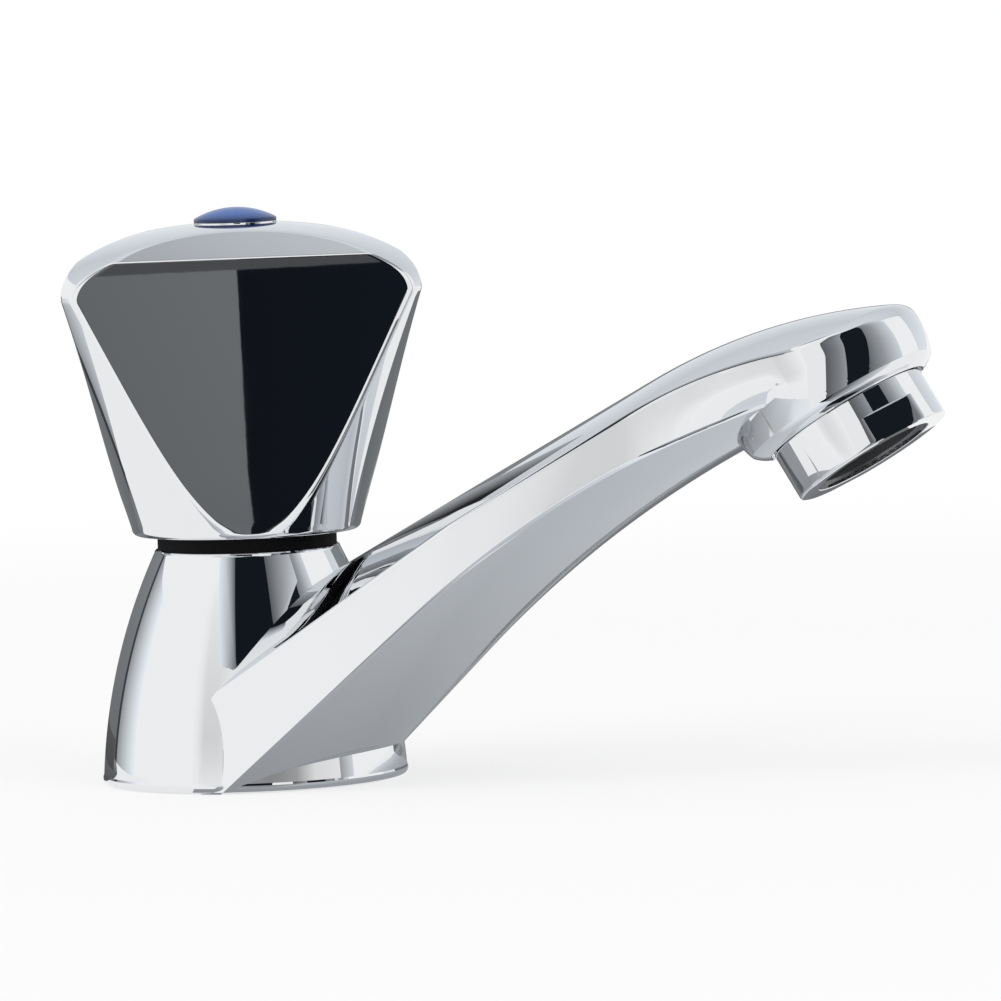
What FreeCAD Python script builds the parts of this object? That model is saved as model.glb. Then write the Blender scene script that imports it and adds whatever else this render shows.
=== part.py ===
import FreeCAD, Part
import math
import os
from FreeCAD import Placement, Rotation, Vector

# A single basin tap for cold water, in millimetres.
# The origin is the centre of the base, on the valve's axis, with +Z up and +X towards the outlet.
# A cast body carries a slanted spout. A screw-down headpart in its neck is turned by a
# three-sided handle, and an aerator screws into the round head of the spout.

# Body: a bell-shaped pedestal that narrows to the neck
BASE_RADIUS = 22.4
BASE_EDGE_ROUND = 0.8
FLANK_LOW = (22.35, 1.5)
WAIST = (19.9, 17.0)
NECK_RADIUS = 13.7
NECK_HEIGHT = 34.4
NECK_EDGE_ROUND = 0.5

# Water inlet, valve seat and chamber inside the body
INLET_RADIUS = 9.32
INLET_DEPTH = 12.0
SEAT_BORE_RADIUS = 4.5
SEAT_RIM_RADIUS = 6.5
SEAT_HEIGHT = 17.0
CHAMBER_FLOOR = 15.0
CHAMBER_RADIUS = 9.93

# Gasket groove in the underside
GROOVE_INNER_RADIUS = 15.5
GROOVE_OUTER_RADIUS = 19.5
GROOVE_DEPTH = 2.0

# Outlet: the aerator's mouth and its axis, which leans back from the vertical
OUTLET_X = 98.64
OUTLET_Z = 46.8
OUTLET_LEAN = 31.33
HEAD_RADIUS = 16.4
HEAD_BOTTOM = 9.2
HEAD_FLARE_RADIUS = 15.9
HEAD_FLARE_BOTTOM = 8.8
LIP_RADIUS = 13.05
LIP_BOTTOM = 7.3
HEAD_LOBE_TOP = 14.0

# Spout: the ridge is a straight climb that bends over in an arc
RIDGE_START = (24.8, 36.2)
RIDGE_CLIMB = 28.1
RIDGE_BEND = 67.0
RIDGE_ARC_RADIUS = 84.0
CROWN_RADIUS = 33.0
SHOULDER_X = 40.0
SHOULDER_FALL = 0.66

# The lower crease is a straight climb from the base that bends over too
CREASE_FOOT = (4.9, 0.0)
CREASE_CLIMB = 40.5
CREASE_BEND = 35.0
CREASE_ARC_RADIUS = 152.0
SAG_START = 9.4
SAG_START_X = 25.0
SAG_FALL = 0.105

# Half widths of the spout at its creases, tapering to the head
UPPER_HALF_WIDTH = 20.65
UPPER_TAPER = 2.8
LOWER_HALF_WIDTH = 22.35
LOWER_TAPER = 3.8
SPOUT_END_HALF_WIDTH = 16.35
SPOUT_STATIONS = (0, 12, 25, 38, 50, 62, 74, 86, 98, 110)

# Cored waterway: distance from the axis, depth below the ridge, half width and half height
WATERWAY = (
    (7.0, 6.1, 7.0, 5.1),
    (22.0, 8.2, 9.5, 6.0),
    (42.0, 9.2, 11.0, 6.0),
    (62.0, 7.9, 11.0, 5.2),
    (78.0, 7.4, 9.5, 4.7),
    (88.0, 6.5, 7.5, 4.0),
)
THROAT_RADIUS = 8.5
THROAT_TOP = 17.0
SOCKET_RADIUS = 11.05
SOCKET_TOP = 13.2

# Handle: three lobes between three flat sides, under a domed crown
HANDLE_GAP = 2.1
HANDLE_BOTTOM = NECK_HEIGHT + HANDLE_GAP
HANDLE_FOOT_ROUND = 1.0
HANDLE_FOOT_RADIUS = 16.9
HANDLE_WAIST = (22.5, 54.6)
HANDLE_TOP = (29.4, 70.7)
CROWN_HALF_WIDTH = 29.6
CROWN_RISE = 11.0
CROWN_BASE = 71.2
HANDLE_WALL = 2.5
SIDE_FOOT = (16.85, 34.0)
SIDE_MIDDLE = (15.75, 56.0)
SIDE_TOP = (16.4, 78.1)
SIDE_AZIMUTHS = (57.0, 177.0, -63.0)
LOBE_AZIMUTHS = (-3.0, 117.0, -123.0)
BOSS_RADIUS = 9.5
BOSS_BOTTOM = 51.4
BOSS_BORE_RADIUS = 7.05
WEB_BOTTOM = 61.0
WEB_TOP = 64.5
WEB_HOLE_RADIUS = 2.6
WELL_RADIUS = 5.3
CAP_LAND_RADIUS = 6.9
CAP_LAND_DEPTH = 5.7
CAP_LAND_HEIGHT = CROWN_BASE + CROWN_RISE
RIB_THICKNESS = 2.5
RIB_BOTTOM = 53.0

# Index cap
CAP_RADIUS = 6.08
CAP_EDGE = 0.5
CAP_DOME = 1.6
CAP_SKIRT_OUTER = 5.2
CAP_SKIRT_INNER = 4.2
CAP_SKIRT_LENGTH = 6.2

# Headpart: the hexagonal brass piece that screws into the neck
HEADPART_BOTTOM = 25.3
HEADPART_THREAD_RADIUS = 9.88
HEADPART_GASKET_THICKNESS = 0.6
HEADPART_GASKET_INNER = 9.95
HEADPART_GASKET_OUTER = 11.6
HEADPART_HEX = 21.0
HEADPART_HEX_TOP = 40.5
HEADPART_STEM_RADIUS = 8.0
HEADPART_TOP = 50.0
GUIDE_HEX = 12.1
GUIDE_HEX_TOP = 33.3
GUIDE_BORE_RADIUS = 5.5
GUIDE_BORE_TOP = 41.5
STEM_BORE_RADIUS = 4.05

# Slide ring that closes the gap between neck and handle
NECK_RING_INNER = 12.2
NECK_RING_OUTER = 13.2
NECK_RING_LENGTH = 3.2

# Spindle, thrust washer, circlip and O-rings
SPINDLE_BOTTOM = 29.0
SPINDLE_THREAD_RADIUS = 3.4
COLLAR_BOTTOM = 39.8
COLLAR_TOP = 40.7
COLLAR_RADIUS = 5.35
STEM_RADIUS = 4.0
STEM_TOP = 51.2
STEM_GROOVE_RADIUS = 3.0
STEM_GROOVE_WIDTH = 1.2
LOWER_RING_HEIGHT = 43.6
UPPER_RING_HEIGHT = 46.2
STEM_RING_SECTION = 0.5
STEM_RING_RADIUS = 3.52
CIRCLIP_GROOVE_BOTTOM = 50.1
CIRCLIP_GROOVE_TOP = 50.9
CIRCLIP_GROOVE_RADIUS = 3.4
CIRCLIP_INNER = 3.45
CIRCLIP_OUTER = 5.2
CIRCLIP_TOP = 50.8
CIRCLIP_GAP = 3.2
SPLINE_BOTTOM = 51.6
SPLINE_TOP = 60.0
SPLINE_TIP = 3.95
SPLINE_ROOT = 3.5
SPLINE_TEETH = 20
SPLINE_PLAY = 0.04
SCREW_HOLE_RADIUS = 2.5
SCREW_HOLE_BOTTOM = 51.5

# Valve plunger, drawn closed, with its washer, screw and O-ring
PLUNGER_DISC_RADIUS = 8.0
PLUNGER_DISC_BOTTOM = 18.5
PLUNGER_RECESS_RADIUS = 7.25
WASHER_TOP = 20.0
WASHER_RADIUS = 7.2
WASHER_HOLE_RADIUS = 2.2
WASHER_SEAT_GAP = 0.03
PLUNGER_HEX = 12.0
PLUNGER_HEX_BOTTOM = 21.5
PLUNGER_HEX_TOP = 29.5
PLUNGER_RADIUS = 5.45
PLUNGER_TOP = 36.0
PLUNGER_HOLE_RADIUS = 3.45
PLUNGER_HOLE_BOTTOM = 25.0
PLUNGER_GROOVE_RADIUS = 4.35
PLUNGER_GROOVE_BOTTOM = 33.7
PLUNGER_GROOVE_TOP = 35.3
PLUNGER_RING_SECTION = 0.53
PLUNGER_RING_RADIUS = 4.92
WASHER_SCREW_HEAD_RADIUS = 3.4
WASHER_SCREW_HEAD_BOTTOM = 15.2
WASHER_SCREW_RADIUS = 1.95
WASHER_SCREW_TOP = 23.5
WASHER_SCREW_HOLE_TOP = 24.0
WASHER_SCREW_SLOT = 0.8

# Handle insert and its fastening
INSERT_RADIUS = 7.0
INSERT_BORE_TOP = 60.3
SCREW_WASHER_RADIUS = 4.6
SCREW_WASHER_TOP = 65.3
HANDLE_SCREW_HEAD_RADIUS = 4.2
HANDLE_SCREW_HEAD_TOP = 68.8
HANDLE_SCREW_RADIUS = 2.45
HANDLE_SCREW_BOTTOM = 52.0
HANDLE_SCREW_SOCKET = 4.0
HANDLE_SCREW_SOCKET_DEPTH = 2.2

# Aerator, measured up from its mouth
AERATOR_RADIUS = 12.0
AERATOR_EDGE = 0.4
AERATOR_THREAD_RADIUS = 11.0
AERATOR_TOP = 12.4
AERATOR_BORE_RADIUS = 9.6
AERATOR_MOUTH_RADIUS = 9.0
AERATOR_LEDGE = 0.8
SPANNER_FLAT_DISTANCE = 11.25
SPANNER_FLAT_TOP = 4.1
SPANNER_FLAT_AZIMUTH = -42.5
AERATOR_GASKET_INNER = 8.6
AERATOR_GASKET_OUTER = 10.9
CARTRIDGE_RADIUS = 9.55
CARTRIDGE_TOP = 12.2
CARTRIDGE_BORE = 8.4
CARTRIDGE_LEDGE_BORE = 7.8
GRILLE_BOTTOM = 1.8
GRILLE_TOP = 3.0
INSERTS_RADIUS = 8.37
GRILLE_HOLE_RADIUS = 0.85
GRILLE_PITCH = 2.2
GRILLE_RINGS = 3
REGULATOR_LEDGE_BOTTOM = 6.8
REGULATOR_BOTTOM = 7.8
REGULATOR_TOP = 9.8
REGULATOR_HOLE_RADIUS = 0.8
REGULATOR_HOLE_CIRCLE = 5.4
REGULATOR_HOLES = 10
SCREEN_TOP = 10.3
SCREEN_BAR = 0.4
SCREEN_PITCH = 1.8

# Play between parts that slide or screw together, on the radius
RUNNING_PLAY = 0.05

ORIGIN = Vector(0, 0, 0)
X_AXIS = Vector(1, 0, 0)
Y_AXIS = Vector(0, 1, 0)
Z_AXIS = Vector(0, 0, 1)
FAR = 70.0


def line(a, b):
    return Part.LineSegment(Vector(*a), Vector(*b)).toShape()


def arc(a, b, c):
    return Part.Arc(Vector(*a), Vector(*b), Vector(*c)).toShape()


def flat(point):
    """A (radius, height) point drawn in the XY plane."""
    return (point[0], point[1], 0)


def polyline(*points):
    corners = [flat(p) for p in points]
    return [line(a, b) for a, b in zip(corners, corners[1:])]


def curve(a, b, c):
    return arc(flat(a), flat(b), flat(c))


def turned(edges):
    """A solid of revolution about Z, from edges drawn as (radius, height)."""
    face = Part.Face(Part.Wire(Part.__sortEdges__(edges)))
    face.rotate(ORIGIN, X_AXIS, 90)
    return face.revolve(ORIGIN, Z_AXIS, 360)


def disc(radius, bottom, top):
    return Part.makeCylinder(radius, top - bottom, Vector(0, 0, bottom))


def ring(inner, outer, bottom, top):
    return disc(outer, bottom, top).cut(disc(inner, bottom - 1, top + 1))


def block(x0, x1, y0, y1, z0, z1):
    return Part.makeBox(x1 - x0, y1 - y0, z1 - z0, Vector(x0, y0, z0))


def prism(points, bottom, top):
    wire = Part.makePolygon([Vector(x, y, bottom) for x, y in points + points[:1]])
    return Part.Face(wire).extrude(Vector(0, 0, top - bottom))


def hexagon(across, bottom, top):
    reach = across / 2 / math.cos(math.radians(30))
    angles = [math.radians(60 * i) for i in range(6)]
    return prism([(reach * math.cos(a), reach * math.sin(a)) for a in angles], bottom, top)


def serrated(play, bottom, top):
    """V-shaped serrations, alternately at the tip and the root radius."""
    points = []
    for i in range(2 * SPLINE_TEETH):
        radius = play + (SPLINE_ROOT if i % 2 else SPLINE_TIP)
        angle = math.pi * i / SPLINE_TEETH
        points.append((radius * math.cos(angle), radius * math.sin(angle)))
    return prism(points, bottom, top)


def fused(first, *others):
    shape = first
    for other in others:
        shape = shape.fuse(other)
    return shape


def at_outlet(shape):
    """Moves a shape drawn about Z, with the mouth at height 0, to the aerator's place."""
    place = Placement(Vector(OUTLET_X, 0, OUTLET_Z), Rotation(Y_AXIS, -OUTLET_LEAN))
    moved = shape.copy()
    moved.Placement = place.multiply(moved.Placement)
    return moved


def tangent(degrees):
    return math.tan(math.radians(degrees))


def bent_climb(x, start, climb, bend, radius):
    """Height of a straight climb from a point, which runs into an arc tangent to it."""
    straight = start[1] + (min(x, bend) - start[0]) * tangent(climb)
    if x < bend:
        return straight
    angle = math.radians(climb)
    reach = bend + radius * math.sin(angle) - x
    return straight - radius * math.cos(angle) + math.sqrt(radius ** 2 - reach ** 2)


def ridge_height(x):
    return bent_climb(x, RIDGE_START, RIDGE_CLIMB, RIDGE_BEND, RIDGE_ARC_RADIUS)


def crease_height(x):
    """Height of the lower crease, between side face and underside."""
    return bent_climb(x, CREASE_FOOT, CREASE_CLIMB, CREASE_BEND, CREASE_ARC_RADIUS)


def upper_half_width(x):
    return max(SPOUT_END_HALF_WIDTH, UPPER_HALF_WIDTH - x * tangent(UPPER_TAPER))


def lower_half_width(x):
    return max(SPOUT_END_HALF_WIDTH, LOWER_HALF_WIDTH - x * tangent(LOWER_TAPER))


def shoulder_height(x):
    """Height of the upper crease, which falls away faster close to the body."""
    along = max(x, SHOULDER_X)
    half = upper_half_width(along)
    drop = CROWN_RADIUS - math.sqrt(CROWN_RADIUS ** 2 - half ** 2)
    return ridge_height(along) - drop - (along - x) * SHOULDER_FALL


def spout_section(x):
    """One cross-section: crowned top, two side faces and a rounded underside."""
    upper, lower = upper_half_width(x), lower_half_width(x)
    shoulder, crease = shoulder_height(x), crease_height(x)
    belly = crease - SAG_START + SAG_FALL * (x - SAG_START_X)
    return Part.Wire([
        arc((x, -upper, shoulder), (x, 0, ridge_height(x)), (x, upper, shoulder)),
        line((x, upper, shoulder), (x, lower, crease)),
        arc((x, lower, crease), (x, 0, belly), (x, -lower, crease)),
        line((x, -lower, crease), (x, -upper, shoulder)),
    ])


def head_turned(top):
    """The round head about the aerator's axis, flared above its lip."""
    return turned(polyline(
        (0, LIP_BOTTOM),
        (LIP_RADIUS, LIP_BOTTOM),
        (HEAD_FLARE_RADIUS, HEAD_FLARE_BOTTOM),
        (HEAD_RADIUS, HEAD_BOTTOM),
        (HEAD_RADIUS, top),
        (0, top),
        (0, LIP_BOTTOM),
    ))


def spout():
    """The lofted arm, rounded in front about the aerator's axis, with the head's lobe below."""
    arm = Part.makeLoft([spout_section(x) for x in SPOUT_STATIONS], True, False)
    reach = 2 * FAR
    spread = HEAD_RADIUS + reach * tangent(2 * UPPER_TAPER)
    behind = prism([
        (0, -HEAD_RADIUS), (0, HEAD_RADIUS), (-reach, spread), (-reach, -spread),
    ], -reach, reach)
    front = head_turned(FAR).common(block(0, FAR, -FAR, FAR, 0, FAR))
    arm = fused(arm.common(at_outlet(behind)), arm.common(at_outlet(front)))
    return fused(arm, at_outlet(head_turned(HEAD_LOBE_TOP)))


def pedestal():
    """The bell of the body, up to the neck."""
    foot = (BASE_RADIUS - BASE_EDGE_ROUND, 0)
    foot_middle = (BASE_RADIUS - 0.3 * BASE_EDGE_ROUND, 0.3 * BASE_EDGE_ROUND)
    edge = (NECK_RADIUS, NECK_HEIGHT - NECK_EDGE_ROUND)
    edge_middle = (NECK_RADIUS - 0.3 * NECK_EDGE_ROUND, NECK_HEIGHT - 0.3 * NECK_EDGE_ROUND)
    shoulder = (NECK_RADIUS - NECK_EDGE_ROUND, NECK_HEIGHT)
    return turned([
        *polyline((0, 0), foot),
        curve(foot, foot_middle, FLANK_LOW),
        curve(FLANK_LOW, WAIST, edge),
        curve(edge, edge_middle, shoulder),
        *polyline(shoulder, (0, NECK_HEIGHT), (0, 0)),
    ])


def waterway():
    """The cored channel from the valve chamber to the outlet."""
    wires = []
    for x, depth, half_width, half_height in WATERWAY:
        wire = Part.Wire([Part.Ellipse(ORIGIN, half_width, half_height).toShape()])
        wire.rotate(ORIGIN, X_AXIS, 90)
        wire.rotate(ORIGIN, Z_AXIS, 90)
        wire.translate(Vector(x, 0, ridge_height(x) - depth))
        wires.append(wire)
    return Part.makeLoft(wires, True, False)


def tap_body():
    body = fused(pedestal(), spout()).cut(block(-FAR, 2 * FAR, -FAR, FAR, -FAR, 0))
    seat = disc(SEAT_RIM_RADIUS, INLET_DEPTH, SEAT_HEIGHT)
    chamber = disc(CHAMBER_RADIUS, CHAMBER_FLOOR, NECK_HEIGHT + 1)
    hollows = [
        disc(INLET_RADIUS, -1, INLET_DEPTH),
        chamber.cut(seat),
        disc(SEAT_BORE_RADIUS, INLET_DEPTH - 1, SEAT_HEIGHT + 1),
        ring(GROOVE_INNER_RADIUS, GROOVE_OUTER_RADIUS, -1, GROOVE_DEPTH),
        waterway().cut(seat),
        at_outlet(disc(SOCKET_RADIUS, 0, SOCKET_TOP)),
        at_outlet(disc(THROAT_RADIUS, SOCKET_TOP - 1, THROAT_TOP)),
    ]
    for hollow in hollows:
        body = body.cut(hollow)
    return body


def base_gasket():
    return ring(GROOVE_INNER_RADIUS, GROOVE_OUTER_RADIUS, 0, GROOVE_DEPTH)


def headpart_body():
    flange = NECK_HEIGHT + HEADPART_GASKET_THICKNESS
    outside = fused(
        disc(HEADPART_THREAD_RADIUS, HEADPART_BOTTOM, flange),
        hexagon(HEADPART_HEX, flange, HEADPART_HEX_TOP),
        disc(HEADPART_STEM_RADIUS, HEADPART_HEX_TOP, HEADPART_TOP),
    )
    outside = outside.cut(hexagon(GUIDE_HEX, HEADPART_BOTTOM - 1, GUIDE_HEX_TOP))
    outside = outside.cut(disc(GUIDE_BORE_RADIUS, GUIDE_HEX_TOP - 1, GUIDE_BORE_TOP))
    return outside.cut(disc(STEM_BORE_RADIUS, GUIDE_BORE_TOP - 1, HEADPART_TOP + 1))


def headpart_gasket():
    top = NECK_HEIGHT + HEADPART_GASKET_THICKNESS
    return ring(HEADPART_GASKET_INNER, HEADPART_GASKET_OUTER, NECK_HEIGHT, top)


def neck_ring():
    return ring(NECK_RING_INNER, NECK_RING_OUTER, NECK_HEIGHT, NECK_HEIGHT + NECK_RING_LENGTH)


def thrust_washer():
    return ring(STEM_BORE_RADIUS, GUIDE_BORE_RADIUS - RUNNING_PLAY, COLLAR_TOP, GUIDE_BORE_TOP)


def spindle():
    shape = fused(
        disc(SPINDLE_THREAD_RADIUS, SPINDLE_BOTTOM, COLLAR_BOTTOM),
        disc(COLLAR_RADIUS, COLLAR_BOTTOM, COLLAR_TOP),
        disc(STEM_RADIUS, COLLAR_TOP, STEM_TOP),
        disc(SPLINE_ROOT, STEM_TOP, SPLINE_BOTTOM),
        serrated(0, SPLINE_BOTTOM, SPLINE_TOP),
    )
    for middle in (LOWER_RING_HEIGHT, UPPER_RING_HEIGHT):
        low = middle - STEM_GROOVE_WIDTH / 2
        high = middle + STEM_GROOVE_WIDTH / 2
        shape = shape.cut(ring(STEM_GROOVE_RADIUS, STEM_RADIUS + 1, low, high))
    shape = shape.cut(ring(CIRCLIP_GROOVE_RADIUS, STEM_RADIUS + 1,
                           CIRCLIP_GROOVE_BOTTOM, CIRCLIP_GROOVE_TOP))
    return shape.cut(disc(SCREW_HOLE_RADIUS, SCREW_HOLE_BOTTOM, SPLINE_TOP + 1))


def spindle_o_ring(height):
    return Part.makeTorus(STEM_RING_RADIUS, STEM_RING_SECTION, Vector(0, 0, height))


def spindle_o_ring_lower():
    return spindle_o_ring(LOWER_RING_HEIGHT)


def spindle_o_ring_upper():
    return spindle_o_ring(UPPER_RING_HEIGHT)


def spindle_circlip():
    clip = ring(CIRCLIP_INNER, CIRCLIP_OUTER, CIRCLIP_GROOVE_BOTTOM, CIRCLIP_TOP)
    half = CIRCLIP_GAP / 2
    return clip.cut(block(0, FAR, -half, half, HEADPART_TOP, CIRCLIP_TOP + 1))


def valve_plunger():
    shape = fused(
        disc(PLUNGER_DISC_RADIUS, PLUNGER_DISC_BOTTOM, PLUNGER_HEX_BOTTOM),
        hexagon(PLUNGER_HEX, PLUNGER_HEX_BOTTOM, PLUNGER_HEX_TOP),
        disc(PLUNGER_RADIUS, PLUNGER_HEX_TOP, PLUNGER_TOP),
    )
    shape = shape.cut(disc(PLUNGER_RECESS_RADIUS, PLUNGER_DISC_BOTTOM - 1, WASHER_TOP))
    shape = shape.cut(disc(PLUNGER_HOLE_RADIUS, PLUNGER_HOLE_BOTTOM, PLUNGER_TOP + 1))
    shape = shape.cut(disc(WASHER_SCREW_RADIUS + RUNNING_PLAY, WASHER_TOP - 1,
                           WASHER_SCREW_HOLE_TOP))
    return shape.cut(ring(PLUNGER_GROOVE_RADIUS, PLUNGER_RADIUS + 1,
                          PLUNGER_GROOVE_BOTTOM, PLUNGER_GROOVE_TOP))


def plunger_o_ring():
    middle = (PLUNGER_GROOVE_BOTTOM + PLUNGER_GROOVE_TOP) / 2
    return Part.makeTorus(PLUNGER_RING_RADIUS, PLUNGER_RING_SECTION, Vector(0, 0, middle))


def seat_washer():
    return ring(WASHER_HOLE_RADIUS, WASHER_RADIUS, SEAT_HEIGHT + WASHER_SEAT_GAP, WASHER_TOP)


def washer_screw():
    seat = SEAT_HEIGHT + WASHER_SEAT_GAP
    head = disc(WASHER_SCREW_HEAD_RADIUS, WASHER_SCREW_HEAD_BOTTOM, seat)
    half = WASHER_SCREW_SLOT / 2
    slot_top = WASHER_SCREW_HEAD_BOTTOM + WASHER_SCREW_SLOT
    head = head.cut(block(-FAR, FAR, -half, half, 0, slot_top))
    return fused(head, disc(WASHER_SCREW_RADIUS, seat, WASHER_SCREW_TOP))


def handle_bell(inset):
    """The handle's flank and crown before its sides are cut, moved in by the inset."""
    base = HANDLE_BOTTOM
    foot = (HANDLE_FOOT_RADIUS - inset, HANDLE_BOTTOM + HANDLE_FOOT_ROUND)
    if inset:
        rim = polyline((0, base), (HANDLE_FOOT_RADIUS - inset, base), foot)
    else:
        inner = (HANDLE_FOOT_RADIUS - HANDLE_FOOT_ROUND, base)
        middle = (HANDLE_FOOT_RADIUS - 0.3 * HANDLE_FOOT_ROUND, base + 0.3 * HANDLE_FOOT_ROUND)
        rim = polyline((0, base), inner) + [curve(inner, middle, foot)]
    waist = (HANDLE_WAIST[0] - inset, HANDLE_WAIST[1])
    top = (HANDLE_TOP[0] - inset, HANDLE_TOP[1])
    crown = Part.Ellipse(Vector(0, CROWN_BASE, 0), CROWN_HALF_WIDTH - inset, CROWN_RISE - inset)
    apex = (0, CROWN_BASE + CROWN_RISE - inset)
    return turned([
        *rim,
        curve(foot, waist, top),
        *polyline(top, (CROWN_HALF_WIDTH - inset, CROWN_BASE)),
        Part.ArcOfEllipse(crown, 0, math.pi / 2).toShape(),
        *polyline(apex, (0, base)),
    ])


def side_cut(inset):
    """What is removed outside one side: slightly hollow, with a bevel at its top."""
    foot = (SIDE_FOOT[0] - inset, SIDE_FOOT[1])
    middle = (SIDE_MIDDLE[0] - inset, SIDE_MIDDLE[1])
    top = (SIDE_TOP[0] - inset, SIDE_TOP[1])
    rise = BOSS_RADIUS
    bevel = (top[0] - rise, top[1] + rise)
    outline = [
        curve(foot, middle, top),
        *polyline(top, bevel, (FAR, bevel[1]), (FAR, foot[1]), foot),
    ]
    face = Part.Face(Part.Wire(Part.__sortEdges__(outline)))
    face.rotate(ORIGIN, X_AXIS, 90)
    face.translate(Vector(0, FAR, 0))
    return face.extrude(Vector(0, -2 * FAR, 0))


def three_sided(shape, inset):
    cut = side_cut(inset)
    for azimuth in SIDE_AZIMUTHS:
        tool = cut.copy()
        tool.rotate(ORIGIN, Z_AXIS, azimuth)
        shape = shape.cut(tool)
    return shape


def handle_ribs():
    half = RIB_THICKNESS / 2
    ribs = []
    for azimuth in LOBE_AZIMUTHS:
        rib = block(BOSS_BORE_RADIUS + 1, FAR, -half, half, RIB_BOTTOM, 2 * FAR)
        rib.rotate(ORIGIN, Z_AXIS, azimuth)
        ribs.append(rib)
    return ribs


def handle():
    hollow = three_sided(handle_bell(HANDLE_WALL), HANDLE_WALL)
    hollow = hollow.cut(disc(BOSS_RADIUS, BOSS_BOTTOM, 2 * FAR))
    for rib in handle_ribs():
        hollow = hollow.cut(rib)
    shape = three_sided(handle_bell(0), 0).cut(hollow)
    land_bottom = CAP_LAND_HEIGHT - CAP_LAND_DEPTH
    shape = shape.fuse(disc(CAP_LAND_RADIUS, land_bottom, CAP_LAND_HEIGHT))
    shape = shape.cut(disc(BOSS_BORE_RADIUS, BOSS_BOTTOM - 1, WEB_BOTTOM))
    shape = shape.cut(disc(WEB_HOLE_RADIUS, WEB_BOTTOM - 1, WEB_TOP + 1))
    return shape.cut(disc(WELL_RADIUS, WEB_TOP, 2 * FAR))


def handle_insert():
    shape = disc(INSERT_RADIUS, BOSS_BOTTOM, WEB_BOTTOM)
    shape = shape.cut(serrated(SPLINE_PLAY, BOSS_BOTTOM - 1, INSERT_BORE_TOP))
    return shape.cut(disc(WEB_HOLE_RADIUS, INSERT_BORE_TOP - 1, WEB_BOTTOM + 1))


def screw_washer():
    return ring(WEB_HOLE_RADIUS, SCREW_WASHER_RADIUS, WEB_TOP, SCREW_WASHER_TOP)


def handle_screw():
    head = disc(HANDLE_SCREW_HEAD_RADIUS, SCREW_WASHER_TOP, HANDLE_SCREW_HEAD_TOP)
    socket_bottom = HANDLE_SCREW_HEAD_TOP - HANDLE_SCREW_SOCKET_DEPTH
    head = head.cut(hexagon(HANDLE_SCREW_SOCKET, socket_bottom, HANDLE_SCREW_HEAD_TOP + 1))
    return fused(head, disc(HANDLE_SCREW_RADIUS, HANDLE_SCREW_BOTTOM, SCREW_WASHER_TOP))


def index_cap():
    """A domed button with a skirt that clips into the handle's well."""
    edge = (CAP_RADIUS, CAP_LAND_HEIGHT + CAP_EDGE)
    apex = (0, CAP_LAND_HEIGHT + CAP_EDGE + CAP_DOME)
    sphere = (CAP_RADIUS ** 2 + CAP_DOME ** 2) / (2 * CAP_DOME)
    half = math.asin(CAP_RADIUS / sphere) / 2
    middle = (sphere * math.sin(half), apex[1] - sphere * (1 - math.cos(half)))
    dome = turned([
        *polyline(apex, (0, CAP_LAND_HEIGHT), (CAP_RADIUS, CAP_LAND_HEIGHT), edge),
        curve(edge, middle, apex),
    ])
    skirt_bottom = CAP_LAND_HEIGHT - CAP_SKIRT_LENGTH
    skirt = ring(CAP_SKIRT_INNER, CAP_SKIRT_OUTER, skirt_bottom, CAP_LAND_HEIGHT)
    return fused(dome, skirt)


def aerator_housing():
    shape = fused(
        turned(polyline(
            (0, 0), (AERATOR_RADIUS - AERATOR_EDGE, 0), (AERATOR_RADIUS, AERATOR_EDGE),
            (AERATOR_RADIUS, LIP_BOTTOM), (0, LIP_BOTTOM), (0, 0),
        )),
        disc(AERATOR_THREAD_RADIUS, LIP_BOTTOM, AERATOR_TOP),
    )
    for turn in (0, 180):
        side = block(SPANNER_FLAT_DISTANCE, FAR, -FAR, FAR, -1, SPANNER_FLAT_TOP)
        side.rotate(ORIGIN, Z_AXIS, SPANNER_FLAT_AZIMUTH + turn)
        shape = shape.cut(side)
    shape = shape.cut(disc(AERATOR_BORE_RADIUS, AERATOR_LEDGE, AERATOR_TOP + 1))
    return at_outlet(shape.cut(disc(AERATOR_MOUTH_RADIUS, -1, AERATOR_LEDGE + 1)))


def aerator_gasket():
    return at_outlet(ring(AERATOR_GASKET_INNER, AERATOR_GASKET_OUTER, AERATOR_TOP, SOCKET_TOP))


def aerator_cartridge():
    """A sleeve with one ledge under the grille and one under the flow regulator."""
    sleeve = ring(CARTRIDGE_BORE, CARTRIDGE_RADIUS, AERATOR_LEDGE, CARTRIDGE_TOP)
    lower = ring(CARTRIDGE_LEDGE_BORE, CARTRIDGE_RADIUS, AERATOR_LEDGE, GRILLE_BOTTOM)
    upper = ring(CARTRIDGE_LEDGE_BORE, CARTRIDGE_RADIUS, REGULATOR_LEDGE_BOTTOM, REGULATOR_BOTTOM)
    return at_outlet(fused(sleeve, lower, upper))


def aerator_grille():
    """A flat disc with a honeycomb of round holes."""
    holes = []
    for row in range(-GRILLE_RINGS, GRILLE_RINGS + 1):
        count = 2 * GRILLE_RINGS + 1 - abs(row)
        for i in range(count):
            x = (i - (count - 1) / 2) * GRILLE_PITCH
            y = row * GRILLE_PITCH * math.sqrt(0.75)
            hole = disc(GRILLE_HOLE_RADIUS, GRILLE_BOTTOM - 1, GRILLE_TOP + 1)
            hole.translate(Vector(x, y, 0))
            holes.append(hole)
    return at_outlet(disc(INSERTS_RADIUS, GRILLE_BOTTOM, GRILLE_TOP).cut(holes))


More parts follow.
